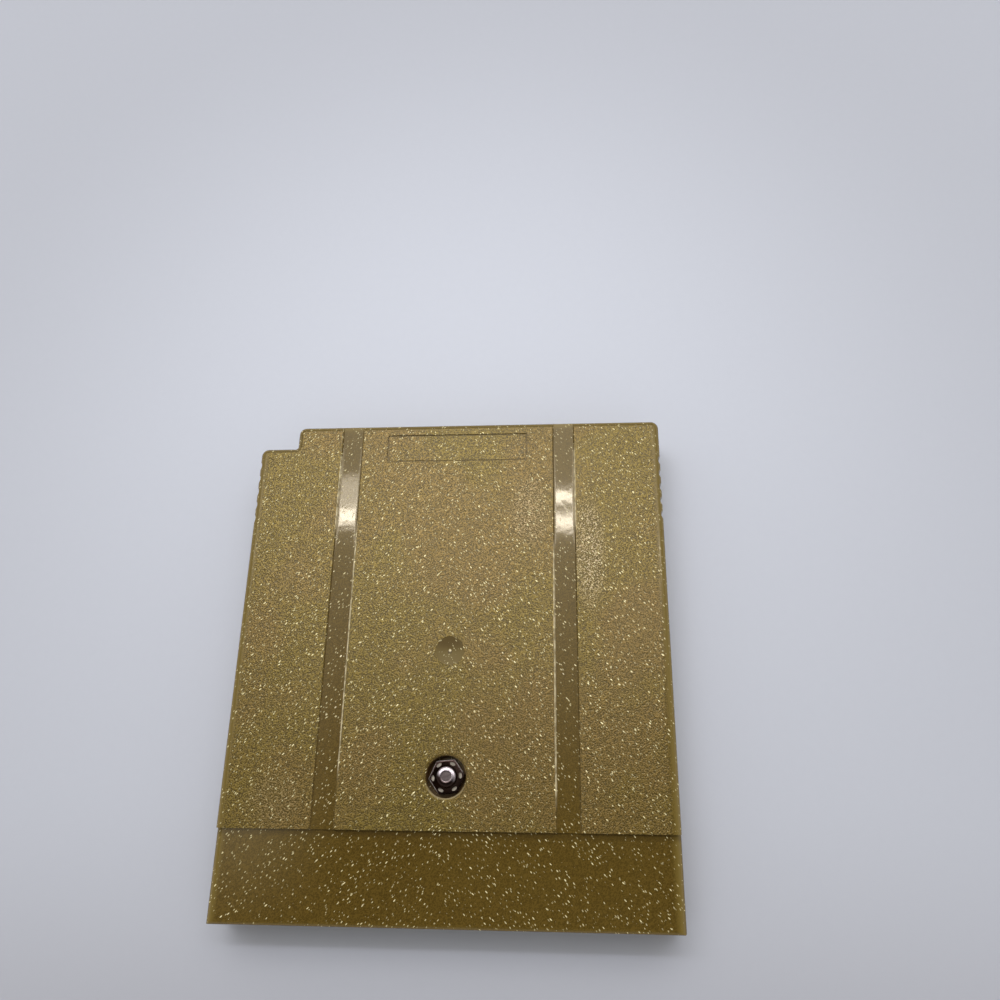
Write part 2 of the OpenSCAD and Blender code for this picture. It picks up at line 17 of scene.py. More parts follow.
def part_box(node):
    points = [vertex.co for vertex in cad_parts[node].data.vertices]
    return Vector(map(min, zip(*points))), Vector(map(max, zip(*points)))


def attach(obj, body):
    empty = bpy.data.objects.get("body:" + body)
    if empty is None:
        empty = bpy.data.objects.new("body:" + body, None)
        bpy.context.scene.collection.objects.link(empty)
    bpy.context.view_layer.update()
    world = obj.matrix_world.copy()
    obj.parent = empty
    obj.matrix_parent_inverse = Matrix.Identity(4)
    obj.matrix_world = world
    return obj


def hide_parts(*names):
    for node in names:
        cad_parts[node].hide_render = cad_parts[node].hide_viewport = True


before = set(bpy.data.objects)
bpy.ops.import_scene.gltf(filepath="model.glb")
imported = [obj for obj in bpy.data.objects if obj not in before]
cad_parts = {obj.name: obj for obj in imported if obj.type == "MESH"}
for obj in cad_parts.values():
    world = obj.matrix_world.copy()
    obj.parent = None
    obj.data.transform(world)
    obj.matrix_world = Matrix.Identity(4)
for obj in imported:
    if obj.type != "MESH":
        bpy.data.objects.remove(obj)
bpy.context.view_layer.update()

LOG = logging.getLogger("cartridge")
MM = 0.001
BODY = "root"
FACE_LEVEL = 7.8
Colour = tuple[float, float, float, float]
Point = tuple[float, float, float]
Pair = tuple[float, float]
Material = bpy.types.Material
Socket = bpy.types.NodeSocket


class Slot(Enum):
    """Material slot names that new pieces are given; nothing here reads them."""

    SCREW = "screw_steel"
    RESIN = "package_resin"
    LEAD = "tinned_lead"
    CELL = "cell_steel"
    CAN = "can_metal"
    CAPACITOR = "capacitor_ceramic"
    RESISTOR = "resistor_ceramic"


class Side(Enum):
    """Which outer face of the cartridge carries the moulded grain."""

    BACK = "back"
    LABEL = "label"


def srgb(*levels: int) -> Colour:
    """Turns a colour as it looks on a screen into the linear one that sockets take.

    Args:
        levels: Red, green and blue, from 0 to 255.

    Returns:
        The linear colour with an alpha of one.
    """
    shares = (level / 255 for level in levels)
    return (*(share / 12.92 if share <= 0.04045 else ((share + 0.055) / 1.055) ** 2.4
              for share in shares), 1.0)


class Graph:
    """Short calls that add nodes to a tree and join them."""

    def __init__(self, tree: bpy.types.NodeTree) -> None:
        """Keeps the node tree that is built."""
        self.tree = tree

    def add(self, kind: str, feeds: dict[str | int, object] | None = None,
            **settings: object) -> bpy.types.Node:
        """Adds a node.

        Args:
            kind: The node's type name, such as ShaderNodeMath.
            feeds: What its inputs take, by name or place.
            settings: Its properties by name.

        Returns:
            The new node.
        """
        node = self.tree.nodes.new(kind)
        for name, value in settings.items():
            setattr(node, name, value)
        for name, value in (feeds or {}).items():
            self.feed(node.inputs[name], value)
        return node

    def feed(self, socket: Socket, value: object) -> None:
        """Joins an output to a socket, or sets the socket to a constant.

        Args:
            socket: The input socket.
            value: An output socket, a number or a sequence of numbers.
        """
        if isinstance(value, Socket):
            self.tree.links.new(value, socket)
        else:
            socket.default_value = value

    def math(self, operation: str, *values: object, clamp: bool = False) -> Socket:
        """Adds a Math node.

        Args:
            operation: The node's operation.
            values: Its inputs in order, each an output socket or a number.
            clamp: Whether the result stays between zero and one.

        Returns:
            The result's socket.
        """
        node = self.add("ShaderNodeMath", dict(enumerate(values)), operation=operation,
                        use_clamp=clamp)
        return node.outputs[0]

    def times(self, *values: object) -> Socket:
        """Multiplies values."""
        return reduce(lambda first, second: self.math("MULTIPLY", first, second), values)

    def most(self, *values: object) -> Socket:
        """Takes the highest of some values."""
        return reduce(lambda first, second: self.math("MAXIMUM", first, second), values)

    def line(self, value: object, slope: float, start: object) -> Socket:
        """Multiplies a value by a slope and adds a start."""
        return self.math("MULTIPLY_ADD", value, slope, start)

    def minus(self, first: object, second: object) -> Socket:
        """Takes the second value from the first."""
        return self.math("SUBTRACT", first, second)

    def inverse(self, mask: object) -> Socket:
        """Turns a mask into its opposite."""
        return self.minus(1.0, mask)

    def off(self, value: object, middle: float) -> Socket:
        """Measures how far a value is from a middle, to either side."""
        return self.math("ABSOLUTE", self.minus(value, middle))

    def vector(self, operation: str, *values: object) -> Socket:
        """Adds a Vector Math node, and returns its vector or, for a distance, its value."""
        node = self.add("ShaderNodeVectorMath", dict(enumerate(values)), operation=operation)
        return node.outputs["Value" if operation == "DISTANCE" else "Vector"]

    def ramp(self, value: object, low: object, high: object) -> Socket:
        """Goes smoothly from zero to one as a value goes from low to high."""
        return self.add("ShaderNodeMapRange", {"Value": value, "From Min": low, "From Max": high},
                        interpolation_type="SMOOTHSTEP").outputs["Result"]

    def span(self, length: object, low: float, high: float) -> Socket:
        """Goes smoothly from zero to one along a length, with its ends in millimetres."""
        return self.ramp(length, low * MM, high * MM)

    def mix(self, factor: object, first: object, second: object) -> Socket:
        """Mixes two colours, by the share of the second."""
        return self.add("ShaderNodeMix", {"Factor": factor, 6: first, 7: second},
                        data_type="RGBA", clamp_factor=True).outputs[2]

    def noise(self, vector: object, scale: object, detail: float = 2.0,
              roughness: float = 0.5) -> Socket:
        """Adds a Noise texture and returns its value, which lies around a half."""
        return self.add("ShaderNodeTexNoise", {"Vector": vector, "Scale": scale, "Detail": detail,
                                               "Roughness": roughness}).outputs[0]

    def cells(self, vector: object, scale: object) -> bpy.types.NodeOutputs:
        """Adds a Voronoi texture of round cells and returns its outputs."""
        return self.add("ShaderNodeTexVoronoi", {"Vector": vector, "Scale": scale}).outputs

    def bump(self, height: object, distance: float, **normal: object) -> Socket:
        """Adds a Bump node.

        Args:
            height: The height from zero to one.
            distance: What a height of one is, in millimetres.
            normal: The normal that the bump starts from, under the name Normal, if any.

        Returns:
            The bumped normal's socket.
        """
        return self.add("ShaderNodeBump", {"Strength": 1.0, "Distance": distance * MM,
                                           "Height": height, **normal}).outputs["Normal"]

    def place(self, vector: object, turn: Point, size: Point = (1.0, 1.0, 1.0)) -> Socket:
        """Adds a Mapping node that stretches a pattern along its own axes, then turns it."""
        return self.add("ShaderNodeMapping", {"Vector": vector, "Rotation": turn, "Scale": size},
                        vector_type="TEXTURE").outputs["Vector"]

    def split(self, vector: object) -> bpy.types.NodeOutputs:
        """Returns the X, Y and Z of a vector."""
        return self.add("ShaderNodeSeparateXYZ", {0: vector}).outputs

    def use(self, effect: str, **values: object) -> bpy.types.NodeOutputs:
        """Places a shared effect, with values for its inputs by name, and returns its outputs."""
        return self.add("ShaderNodeGroup", values, node_tree=Effects.get(effect)).outputs

    def slab(self, length: object, low: float, high: float, soft: float) -> Socket:
        """Marks what lies between two lengths, with soft ends.

        Args:
            length: The length that counts.
            low: The lower one of the two, in millimetres.
            high: The higher one, in millimetres.
            soft: Half the width of a soft end, in millimetres.

        Returns:
            A mask that is one between them.
        """
        return self.use("slab", Value=length, Low=low * MM, High=high * MM,
                        Soft=soft * MM)["Mask"]


class MaterialGraph(Graph):
    """The graph of one material, around its Principled shader."""

    def __init__(self, name: str) -> None:
        """Makes the material.

        Args:
            name: Its name.
        """
        self.material = bpy.data.materials.new(name)
        self.material.use_nodes = True
        super().__init__(self.material.node_tree)
        self.point = self.add("ShaderNodeTexCoord").outputs["Object"]

    @cached_property
    def axes(self) -> bpy.types.NodeOutputs:
        """The X, Y and Z of the point on the piece, in the shared frame, in metres."""
        return self.split(self.point)

    def beside(self, x: float, y: float) -> Socket:
        """Measures, from above, how far the point is from an upright axis in millimetres."""
        flat = self.vector("MULTIPLY", self.point, (1.0, 1.0, 0.0))
        return self.vector("DISTANCE", flat, (x * MM, y * MM, 0.0))

    def laid(self, **values: object) -> Material:
        """Feeds the shader.

        Args:
            values: Its inputs by name, with underscores for spaces.

        Returns:
            The finished material.
        """
        shader = self.tree.nodes["Principled BSDF"]
        for name, value in values.items():
            self.feed(shader.inputs[name.replace("_", " ")], value)
        return self.material


def new_group(name: str, inputs: dict[str, float | None],
              outputs: dict[str, str]) -> tuple[Graph, bpy.types.NodeOutputs, bpy.types.NodeInputs]:
    """Makes an empty shader node group with named sockets.

    Args:
        name: The group's name.
        inputs: Default value by name, or None for a vector.
        outputs: Socket type by name.

    Returns:
        The graph, the outputs of its input node and the inputs of its output node.
    """
    tree = bpy.data.node_groups.new(name, "ShaderNodeTree")
    for label, value in inputs.items():
        kind = "NodeSocketVector" if value is None else "NodeSocketFloat"
        socket = tree.interface.new_socket(label, in_out="INPUT", socket_type=kind)
        if value is not None:
            socket.default_value = value
    for label, kind in outputs.items():
        tree.interface.new_socket(label, in_out="OUTPUT", socket_type="NodeSocket" + kind)
    graph = Graph(tree)
    return graph, graph.add("NodeGroupInput").outputs, graph.add("NodeGroupOutput").inputs


class Effects:
    """The shader node groups that several finishes share, each built once."""

    _built: dict[str, bpy.types.NodeTree] = {}

    @classmethod
    def get(cls, name: str) -> bpy.types.NodeTree:
        """Returns a group by name, and builds it at its first use.

        Args:
            name: The effect's name.

        Returns:
            The group.
        """
        if name not in cls._built:
            cls._built[name] = getattr(cls, "_" + name)()
        return cls._built[name]

    @staticmethod
    def _flakes() -> bpy.types.NodeTree:
        """Builds scattered long flakes: a mask, a tone that differs from flake to flake, a tilt.

        Returns:
            The group.
        """
        graph, given, result = new_group(
            "flakes", {"Vector": None, "Scale": 1700.0, "Size": 0.2, "Share": 0.6},
            {"Mask": "Float", "Tone": "Float", "Tilt": "Vector"})
        cell = graph.cells(given["Vector"], given["Scale"])
        kept, bulk, tone = graph.split(cell["Color"])
        least_size, size_range, core, tone_power = 0.5, 0.7, 0.75, 0.6
        size = graph.times(given["Size"], graph.line(bulk, size_range, least_size))
        inside = graph.inverse(graph.ramp(cell["Distance"], graph.times(size, core), size))
        graph.feed(result["Mask"], graph.times(inside, graph.math("LESS_THAN", kept,
                                                                  given["Share"])))
        graph.feed(result["Tone"], graph.math("POWER", tone, tone_power))
        graph.feed(result["Tilt"], graph.vector("SUBTRACT", cell["Color"], (0.5, 0.5, 0.5)))
        return graph.tree

    @staticmethod
    def _grain() -> bpy.types.NodeTree:
        """Builds the fine pebbled grain of a textured mould.

        Returns:
            The group, whose height lies between zero and one.
        """
        graph, given, result = new_group("grain", {"Vector": None, "Scale": 5000.0},
                                         {"Height": "Float"})
        fine_share, pit_share, pit_scale = 0.7, 0.4, 0.8
        fine = graph.noise(given["Vector"], given["Scale"], detail=0.6)
        pits = graph.cells(given["Vector"], graph.times(given["Scale"], pit_scale))
        graph.feed(result["Height"], graph.math(
            "ADD", graph.times(fine, fine_share), graph.times(pits["Distance"], pit_share)))
        return graph.tree

    @staticmethod
    def _slab() -> bpy.types.NodeTree:
        """Builds a mask that is one between two levels of a value, with soft ends.

        Returns:
            The group.
        """
        graph, given, result = new_group(
            "slab", {"Value": 0.0, "Low": 0.0, "High": 1.0, "Soft": 0.0001}, {"Mask": "Float"})
        rise, fall = (graph.ramp(given["Value"], graph.minus(given[end], given["Soft"]),
                                 graph.math("ADD", given[end], given["Soft"]))
                      for end in ("Low", "High"))
        graph.feed(result["Mask"], graph.math("SUBTRACT", rise, fall, clamp=True))
        return graph.tree

    @staticmethod
    def _smudges() -> bpy.types.NodeTree:
        """Builds broad soft patches and fine handling marks.

        Returns:
            The group, with the patches and the marks as masks.
        """
        graph, given, result = new_group("smudges", {"Vector": None, "Scale": 90.0},
                                         {"Patches": "Float", "Marks": "Float"})
        broad = graph.noise(given["Vector"], given["Scale"], 3.0, 0.55)
        graph.feed(result["Patches"], graph.ramp(broad, 0.35, 0.7))
        streak_turn, streak_size, streak_scale = (0.0, 0.0, 0.6), (0.08, 2.0, 1.0), 3.0
        streaks = graph.noise(graph.place(given["Vector"], streak_turn, streak_size),
                              graph.times(given["Scale"], streak_scale))
        graph.feed(result["Marks"], graph.ramp(streaks, 0.66, 0.74))
        return graph.tree


def new_object(name: str, data: bpy.types.ID) -> bpy.types.Object:
    """Makes an object and links it to the scene.

    Args:
        name: The object's name.
        data: Its mesh, light or camera.

    Returns:
        The object.
    """
    thing = bpy.data.objects.new(name, data)
    bpy.context.scene.collection.objects.link(thing)
    return thing


def from_bmesh(mesh: bmesh.types.BMesh, name: str) -> bpy.types.Mesh:
    """Writes a bmesh into a new mesh and frees it.

    Args:
        mesh: The bmesh.
        name: The new mesh's name.

    Returns:
        The new mesh.
    """
    data = bpy.data.meshes.new(name)
    mesh.to_mesh(data)
    mesh.free()
    return data


class Form:
    """A mesh that grows from a few vertices or a plain shape, in millimetres.

    An edge is rounded, or stays crisp, where its faces meet at more than an angle in radians.
    """

    SPIN_STEPS = 72
    ROUNDING_STEPS = 3
    CRISP = 0.7

    def __init__(self) -> None:
        """Starts with an empty mesh."""
        self.mesh = bmesh.new()

    def turned(self, profile: Sequence[Pair]) -> "Form":
        """Spins a profile about the Z axis into a closed body.

        Args:
            profile: Points of radius and height, from the axis round to the axis.

        Returns:
            The form itself.
        """
        verts = [self.mesh.verts.new((radius, 0.0, height)) for radius, height in profile]
        edges = [self.mesh.edges.new(pair) for pair in zip(verts, verts[1:])]
        bmesh.ops.spin(self.mesh, geom=verts + edges, cent=(0.0, 0.0, 0.0),
                       axis=(0.0, 0.0, 1.0), angle=math.tau, steps=self.SPIN_STEPS,
                       use_merge=True)
        bmesh.ops.remove_doubles(self.mesh, verts=self.mesh.verts[:], dist=0.0001)
        return self.outwards()

    def prism(self, corners: int, radius: float, low: float, high: float) -> "Form":
        """Adds an upright prism whose first corner lies on the X axis.

        Args:
            corners: The number of its corners.
            radius: The distance of a corner from the axis.
            low: Its lower level.
            high: Its upper level.

        Returns:
            The form itself.
        """
        lift = Matrix.Translation((0.0, 0.0, (low + high) / 2))
        bmesh.ops.create_cone(self.mesh, cap_ends=True, segments=corners, radius1=radius,
                              radius2=radius, depth=high - low,
                              matrix=lift @ Matrix.Rotation(-math.pi / 2, 4, "Z"))
        return self

    def moulded_block(self, size: Point, draft: float = 0.0) -> "Form":
        """Adds a box around zero that tapers from its middle to its top and its bottom.

        Args:
            size: Its width, length and height.
            draft: How far each side leans in by its top or bottom.

        Returns:
            The form itself.
        """
        made = bmesh.ops.create_cube(self.mesh, size=1.0, matrix=Matrix.Diagonal((*size, 1.0)))
        upright = {edge for vert in made["verts"] for edge in vert.link_edges
                   if abs(edge.verts[0].co.z - edge.verts[1].co.z) > size[2] / 2}
        bmesh.ops.subdivide_edges(self.mesh, edges=list(upright), cuts=1, use_grid_fill=True)
        ends = [vert for vert in self.mesh.verts if abs(vert.co.z) > size[2] / 4]
        bmesh.ops.scale(self.mesh, verts=ends, vec=(1.0 - 2.0 * draft / size[0],
                                                    1.0 - 2.0 * draft / size[1], 1.0))
        return self

    def soften(self, radius: float, corner: float = 0.6) -> "Form":
        """Rounds every edge whose faces meet at more than an angle.

        Args:
            radius: The width of the rounding.
            corner: The angle, in radians.

        Returns:
            The form itself.
        """
        edges = [edge for edge in self.mesh.edges if edge.calc_face_angle(0.0) > corner]
        bmesh.ops.bevel(self.mesh, geom=edges, offset=radius, offset_type="OFFSET",
                        segments=self.ROUNDING_STEPS, profile=0.5, affect="EDGES", material=-1)
        return self

    def moved(self, matrix: Matrix) -> "Form":
        """Turns, stretches or shifts the whole form."""
        bmesh.ops.transform(self.mesh, matrix=matrix, verts=self.mesh.verts[:])
        return self

    def joined(self, other: "Form") -> "Form":
        """Takes in a closed form, which may reach into this one.

        Args:
            other: The form that is taken in, and used up.

        Returns:
            The form itself.
        """
        data = from_bmesh(other.mesh, "joined")
        self.mesh.from_mesh(data)
        bpy.data.meshes.remove(data)
        return self

    def carved(self, cutter: "Form") -> "Form":
        """Cuts another closed form out of this one.

        Args:
            cutter: The form that is cut out.

        Returns:
            The form itself.
        """
        base, tool = self.loose("base"), cutter.loose("tool")
        cut = base.modifiers.new("cut", "BOOLEAN")
        cut.operation = "DIFFERENCE"
        cut.solver = "EXACT"
        cut.object = tool
        graph = bpy.context.evaluated_depsgraph_get()
        result = bpy.data.meshes.new_from_object(base.evaluated_get(graph))
        self.mesh = bmesh.new()
        self.mesh.from_mesh(result)
        for thing in (base, tool):
            data = thing.data
            bpy.data.objects.remove(thing)
            bpy.data.meshes.remove(data)
        bpy.data.meshes.remove(result)
        bmesh.ops.remove_doubles(self.mesh, verts=self.mesh.verts[:], dist=0.0005)
        return self.outwards()

    def outwards(self) -> "Form":
        """Turns every face outwards."""
        bmesh.ops.recalc_face_normals(self.mesh, faces=self.mesh.faces[:])
        return self

    def loose(self, name: str) -> bpy.types.Object:
        """Makes an object of the form as it is, and frees the mesh."""
        return new_object(name, from_bmesh(self.mesh, name))

    def piece(self, name: str, slot: Slot, material: Material, node: str) -> None:
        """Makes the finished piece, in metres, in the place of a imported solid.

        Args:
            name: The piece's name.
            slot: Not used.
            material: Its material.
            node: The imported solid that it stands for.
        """
        self.moved(Matrix.Scale(MM, 4))
        for face in self.mesh.faces:
            face.smooth = True
        for edge in self.mesh.edges:
            edge.smooth = edge.calc_face_angle(0.0) < self.CRISP
        thing = self.loose(name)
        thing.data.materials.append(material)
        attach(thing, BODY)
        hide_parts(node)
        LOG.info("made %s with %d faces", name, len(thing.data.polygons))


@dataclass(frozen=True)
class FlakeLayer:
    """One layer of long flakes in the plastic."""

    turn: Point
    stretch: Point
    cells_per_metre: float
    size_in_cells: float
    share: float
    strength: float = 1.0


@dataclass(frozen=True)
class GlitterPlastic:
    """Olive gold plastic with pale flakes in it, and a fine moulded grain on its panels."""

    side: Side = Side.BACK
    base: Colour = srgb(80, 62, 20)
    fleck: Colour = srgb(99, 78, 29)
    dish: Colour = srgb(96, 78, 24)
    # Painted shade: the dish is darker towards its upper side
    dish_painted_shade: Colour = srgb(78, 59, 12)
    # The rolled rim's colour: partly its own smooth, grainless finish, partly a painted sheen that
    # lightens it
    rim: Colour = srgb(118, 99, 46)
    # Painted shade: the colour that the deep part of the screw's well takes
    painted_shading: Colour = srgb(104, 74, 40)
    # The grain's pit and crest colours: partly its own tone, partly painted shade in the pits and
    # painted sheen on the crests
    pit_tone_and_shade: Colour = srgb(68, 53, 10)
    crest_tone_and_sheen: Colour = srgb(126, 106, 44)
    blush_tone_and_sheen: Colour = srgb(131, 103, 56)
    # Painted sheen: the colour that the grain's crests take in a few patches
    painted_sheen: Colour = srgb(204, 185, 152)
    # Painted highlight on some channel edges, the lower side of the well's rim and the dish's stub
    painted_highlight: Colour = srgb(236, 220, 176)
    # Painted shade on other channel edges, below the dish's stub, at the step's foot and in the
    # window's groove; also the dark parting line
    painted_shade_and_joint: Colour = srgb(66, 50, 20)
    highlight: Colour = srgb(255, 240, 202)
    flake: Colour = srgb(255, 242, 182)
    # The share of a colour or a roughness that each kind of place takes
    pearl: Pair = (0.28, 0.02)
    blush_share: float = 0.6
    patch_share: float = 0.1
    mouth_share: float = 0.6
    ring_share: float = 0.25
    shaded_edge_share: float = 0.3
    dish_shadow_share: float = 0.75
    foot_share: float = 0.45
    groove_share: float = 0.5
    seam_share: float = 0.9
    gloss_roughness: float = 0.055
    grain_roughness: float = 0.23
    mark_roughness: float = 0.06
    wall_roughness: float = 0.22
    dish_roughness: float = 0.35
    grain_scale: float = 7200.0
    grain_height: float = 0.044
    peak_levels: Pair = (0.44, 0.66)
    spark_levels: Pair = (0.55, 0.8)
    hue_scale: float = 75.0
    hue_levels: Pair = (0.42, 0.62)
    mark_scale: float = 70.0
    grain_turn: Point = (0.0, 0.0, 0.75)
    grain_stretch: Point = (1.3, 0.9, 1.0)
    peel_scale: float = 800.0
    peel_height: float = 0.003
    level_soft: Pair = (0.005, 0.03)
    rim_levels: Pair = (6.4, 7.4)
    window_levels: Pair = (7.64, 7.74)
    dish_r: float = 1.85
    dish_fade: Pair = (-0.4, 1.0)
    # The painted highlight on the dish's stub and the painted shadow below it: the Y of the middle,
    # and the radius
    dish_light: Pair = (0.03, 0.17)
    dish_shadow: Pair = (-0.16, 0.28)
    well_y: float = -15.55
    well_r: float = 2.5
    well_levels: Pair = (7.2, 7.7)
    # The painted highlight on the well's rim: how far out from the well it reaches, and from where
    # to where below the screw it grows
    ring_reach: Pair = (0.2, 0.03)
    ring_fade: Pair = (-0.3, -2.2)
    round_soft: float = 0.03
    # The painted shade along the foot of the step: its Y and its half width
    step_y: float = -22.3
    foot_w: float = 0.55
    border_x: float = 27.0
    border_y: float = 31.4
    border_low: float = -31.9
    border_soft: float = 1.0
    window_half: float = 11.0
    window_low: float = 26.0
    # The groove round the window and the parting line: from which level to which, how soft
    groove: Point = (7.63, 7.69, 0.008)
    seam: Point = (4.22, 4.38, 0.02)
    notch: Pair = (-22.2, 28.3)
    channel_x: float = 15.08
    channel_w: float = 2.9
    # Where the wall of a channel starts and ends, in shares of its width from its middle
    wall_shares: Pair = (0.36, 0.48)
    # Channel edges with a painted highlight, and those with painted shade: X, and Y from and to
    highlit_edges: tuple[Point, ...] = ((13.6, -18.0, 14.0), (16.56, 17.0, 28.0),
                                   (-13.6, -15.0, 17.0), (-16.56, 17.0, 27.5))
    shaded_edges: tuple[Point, ...] = ((16.56, -22.0, 17.0), (-13.45, -15.0, 17.0))
    highlit_half: float = 0.1
    shaded_half: float = 0.09
    line_soft: Pair = (0.04, 1.5)
    glare: Pair = (15.0, 29.0)
    # Patches of painted sheen on the grain: middle X and Y, half the width and length, and how far
    sheen_patches: tuple[tuple[float, ...], ...] = ((18.4, 13.2, 2.3, 8.5, 0.75),
                                              (10.4, 19.0, 3.0, 5.5, 0.4),
                                              (-21.5, -18.5, 4.0, 3.5, 0.2))
    layers: tuple[FlakeLayer, ...] = (
        FlakeLayer((0.1, 0.1, 0.85), (1.45, 0.45, 0.9), 1470.0, 0.185, 0.43),
        FlakeLayer((0.2, -0.1, 0.7), (1.4, 0.45, 0.9), 1430.0, 0.185, 0.43),
        FlakeLayer((-0.1, 0.2, 1.0), (1.3, 0.55, 0.8), 2100.0, 0.26, 0.5, 0.55))
    flake_tilt: float = 0.25
    flake_tone: Pair = (0.9, 0.1)
    other_depth: float = 40.0

    def panel_mask(self, graph: MaterialGraph) -> Socket:
        """Marks the grained panels by their level.

        Args:
            graph: The material's graph.

        Returns:
            A mask that is one on the panels.
        """
        height = graph.axes["Z"]
        near, far = self.level_soft
        if self.side is Side.LABEL:
            return graph.inverse(graph.span(height, near, far))
        return graph.most(graph.span(height, FACE_LEVEL - far, FACE_LEVEL - near),
                          graph.slab(height, *self.window_levels, near))

    def inside_border(self, graph: MaterialGraph) -> Socket:
        """Marks what lies inside the smooth border along the sides, the ends and the notch.

        Args:
            graph: The material's graph.

        Returns:
            A mask that is one inside the border.
        """
        x, y, _ = graph.axes
        soft = self.border_soft
        over, beyond, left, high, below = (
            graph.span(length, start, start + fade) for length, start, fade in (
                (graph.math("ABSOLUTE", x), self.border_x, soft), (y, self.border_y, soft),
                (x, self.notch[0], -soft), (y, self.notch[1], soft),
                (y, self.border_low, -soft)))
        return graph.inverse(graph.most(over, beyond, graph.times(left, high),
                                        graph.times(below, self.mouth_share)))

    def edge_lines(self, graph: MaterialGraph, edges: tuple[Point, ...], half: float) -> Socket:
        """Marks thin lines along the channels' edges.

        Args:
            graph: The material's graph.
            edges: The X of each line, and the Y that it runs from and to.
            half: Half a line's width, in millimetres.

        Returns:
            A mask that is one on the lines.
        """
        x, y, _ = graph.axes
        aside, along = self.line_soft
        return graph.most(*(graph.times(graph.slab(x, at - half, at + half, aside),
                                        graph.slab(y, start, end, along))
                            for at, start, end in edges))

    def painted_sheen_mask(self, graph: MaterialGraph) -> Socket:
        """Marks soft oval patches where the grain's crests take a painted sheen.

        Args:
            graph: The material's graph.

        Returns:
            A mask that is strongest in the middle of each patch.
        """
        x, y, _ = graph.axes
        spots = []
        for at_x, at_y, half_x, half_y, share in self.sheen_patches:
            over, along = (graph.math("DIVIDE", graph.minus(length, at * MM), half * MM)
                           for length, at, half in ((x, at_x, half_x), (y, at_y, half_y)))
            far = graph.math("ADD", graph.times(over, over), graph.times(along, along))
            spots.append(graph.times(graph.ramp(far, 1.2, 0.1), share))
        return graph.most(*spots)

    def painted_light_and_shade(self, graph: MaterialGraph, colour: Socket) -> Socket:
        """Paints highlights on some edges and spots, and shade on other edges and corners.

        Args:
            graph: The material's graph.
            colour: The colour before the painted light and shade.

        Returns:
            The colour with the painted light and shade.
        """
        x, y, z = graph.axes
        patchy = graph.line(graph.ramp(graph.noise(graph.point, 900.0, 3.0, 0.6), 0.35, 0.6),
                            0.6, 0.3)
        ring = graph.minus(*(self.round_mask(graph, self.well_y, self.well_r + reach)
                             for reach in self.ring_reach))
        low = graph.span(y, *(self.well_y + away for away in self.ring_fade))
        foot = graph.span(graph.off(y, self.step_y * MM), self.foot_w, 0.0)
        # Painted shade in the groove round the window
        near_window = graph.times(
            graph.math("GREATER_THAN", y, self.window_low * MM),
            graph.math("LESS_THAN", graph.math("ABSOLUTE", x), self.window_half * MM))
        groove = graph.slab(z, *self.groove)
        # Painted highlights: broken lines on some channel edges, the lower side of the well's rim,
        # and the dish's stub
        light = graph.most(graph.times(patchy, self.edge_lines(graph, self.highlit_edges,
                                                               self.highlit_half)),
                           graph.times(ring, low, self.ring_share),
                           self.round_mask(graph, *self.dish_light))
        # Painted shade: lines on other channel edges, the arc below the stub, the step's foot and
        # the window's groove
        dark = graph.most(graph.times(self.edge_lines(graph, self.shaded_edges, self.shaded_half),
                                      self.shaded_edge_share),
                          graph.times(self.round_mask(graph, *self.dish_shadow),
                                      self.dish_shadow_share),
                          graph.times(foot, self.foot_share),
                          graph.times(groove, near_window, self.groove_share))
        return graph.mix(light, graph.mix(dark, colour, self.painted_shade_and_joint), self.painted_highlight)

    def round_mask(self, graph: MaterialGraph, middle_y: float, radius: float) -> Socket:
        """Marks a round place on the middle line of the back face, in millimetres."""
        return graph.inverse(graph.span(graph.beside(0.0, middle_y), radius - self.round_soft,
                                        radius + self.round_soft))

    def flaked(self, graph: MaterialGraph, colour: Socket) -> tuple[Socket, Socket]:
        """Lays the flakes over a colour, each with its own tone and tilt.

        They lean towards the middle line, so the right half takes a mirrored pattern from
        another depth.

        Args:
            graph: The material's graph.
            colour: The colour under the flakes.

        Returns:
            The colour and the normal with the flakes.
        """
        x, y, z = graph.axes
        leaning = graph.add("ShaderNodeCombineXYZ", {
            "X": graph.times(graph.math("ABSOLUTE", x), -1.0), "Y": y,
            "Z": graph.line(graph.math("GREATER_THAN", x, 0.0), self.other_depth * MM, z)})
        normal = graph.add("ShaderNodeNewGeometry").outputs["Normal"]
        gain, least = self.flake_tone
        for layer in self.layers:
            flakes = graph.use("flakes", Scale=layer.cells_per_metre, Size=layer.size_in_cells,
                               Share=layer.share, Vector=graph.place(
                                   leaning.outputs["Vector"], layer.turn, layer.stretch))
            tone = graph.line(flakes["Tone"], gain * layer.strength, least)
            colour = graph.mix(graph.times(flakes["Mask"], tone), colour, self.flake)
            tilt = graph.vector("MULTIPLY", flakes["Tilt"],
                                graph.times(flakes["Mask"], self.flake_tilt))
            normal = graph.vector("ADD", normal, tilt)
        return colour, graph.vector("NORMALIZE", normal)

    def build(self) -> Material:
        """Builds the plastic.

        Returns:
            The material.
        """
        graph = MaterialGraph("glitter_plastic_" + self.side.value)
        x, y, z = graph.axes
        inner = self.inside_border(graph)
        panel = graph.times(self.panel_mask(graph), inner)
        rim = graph.times(graph.inverse(inner), graph.span(z, *self.rim_levels))
        mark = graph.use("smudges", Vector=graph.point, Scale=self.mark_scale)
        grain = graph.use("grain", Scale=self.grain_scale, Vector=graph.place(
            graph.point, self.grain_turn, self.grain_stretch))["Height"]
        peaks = graph.ramp(grain, *self.peak_levels)
        hue = graph.ramp(graph.noise(graph.point, self.hue_scale), *self.hue_levels)
        # Crests lighter and pits darker: partly the grain's own tone, partly painted sheen and
        # painted shade
        crest = graph.mix(graph.times(hue, self.blush_share), self.crest_tone_and_sheen, self.blush_tone_and_sheen)
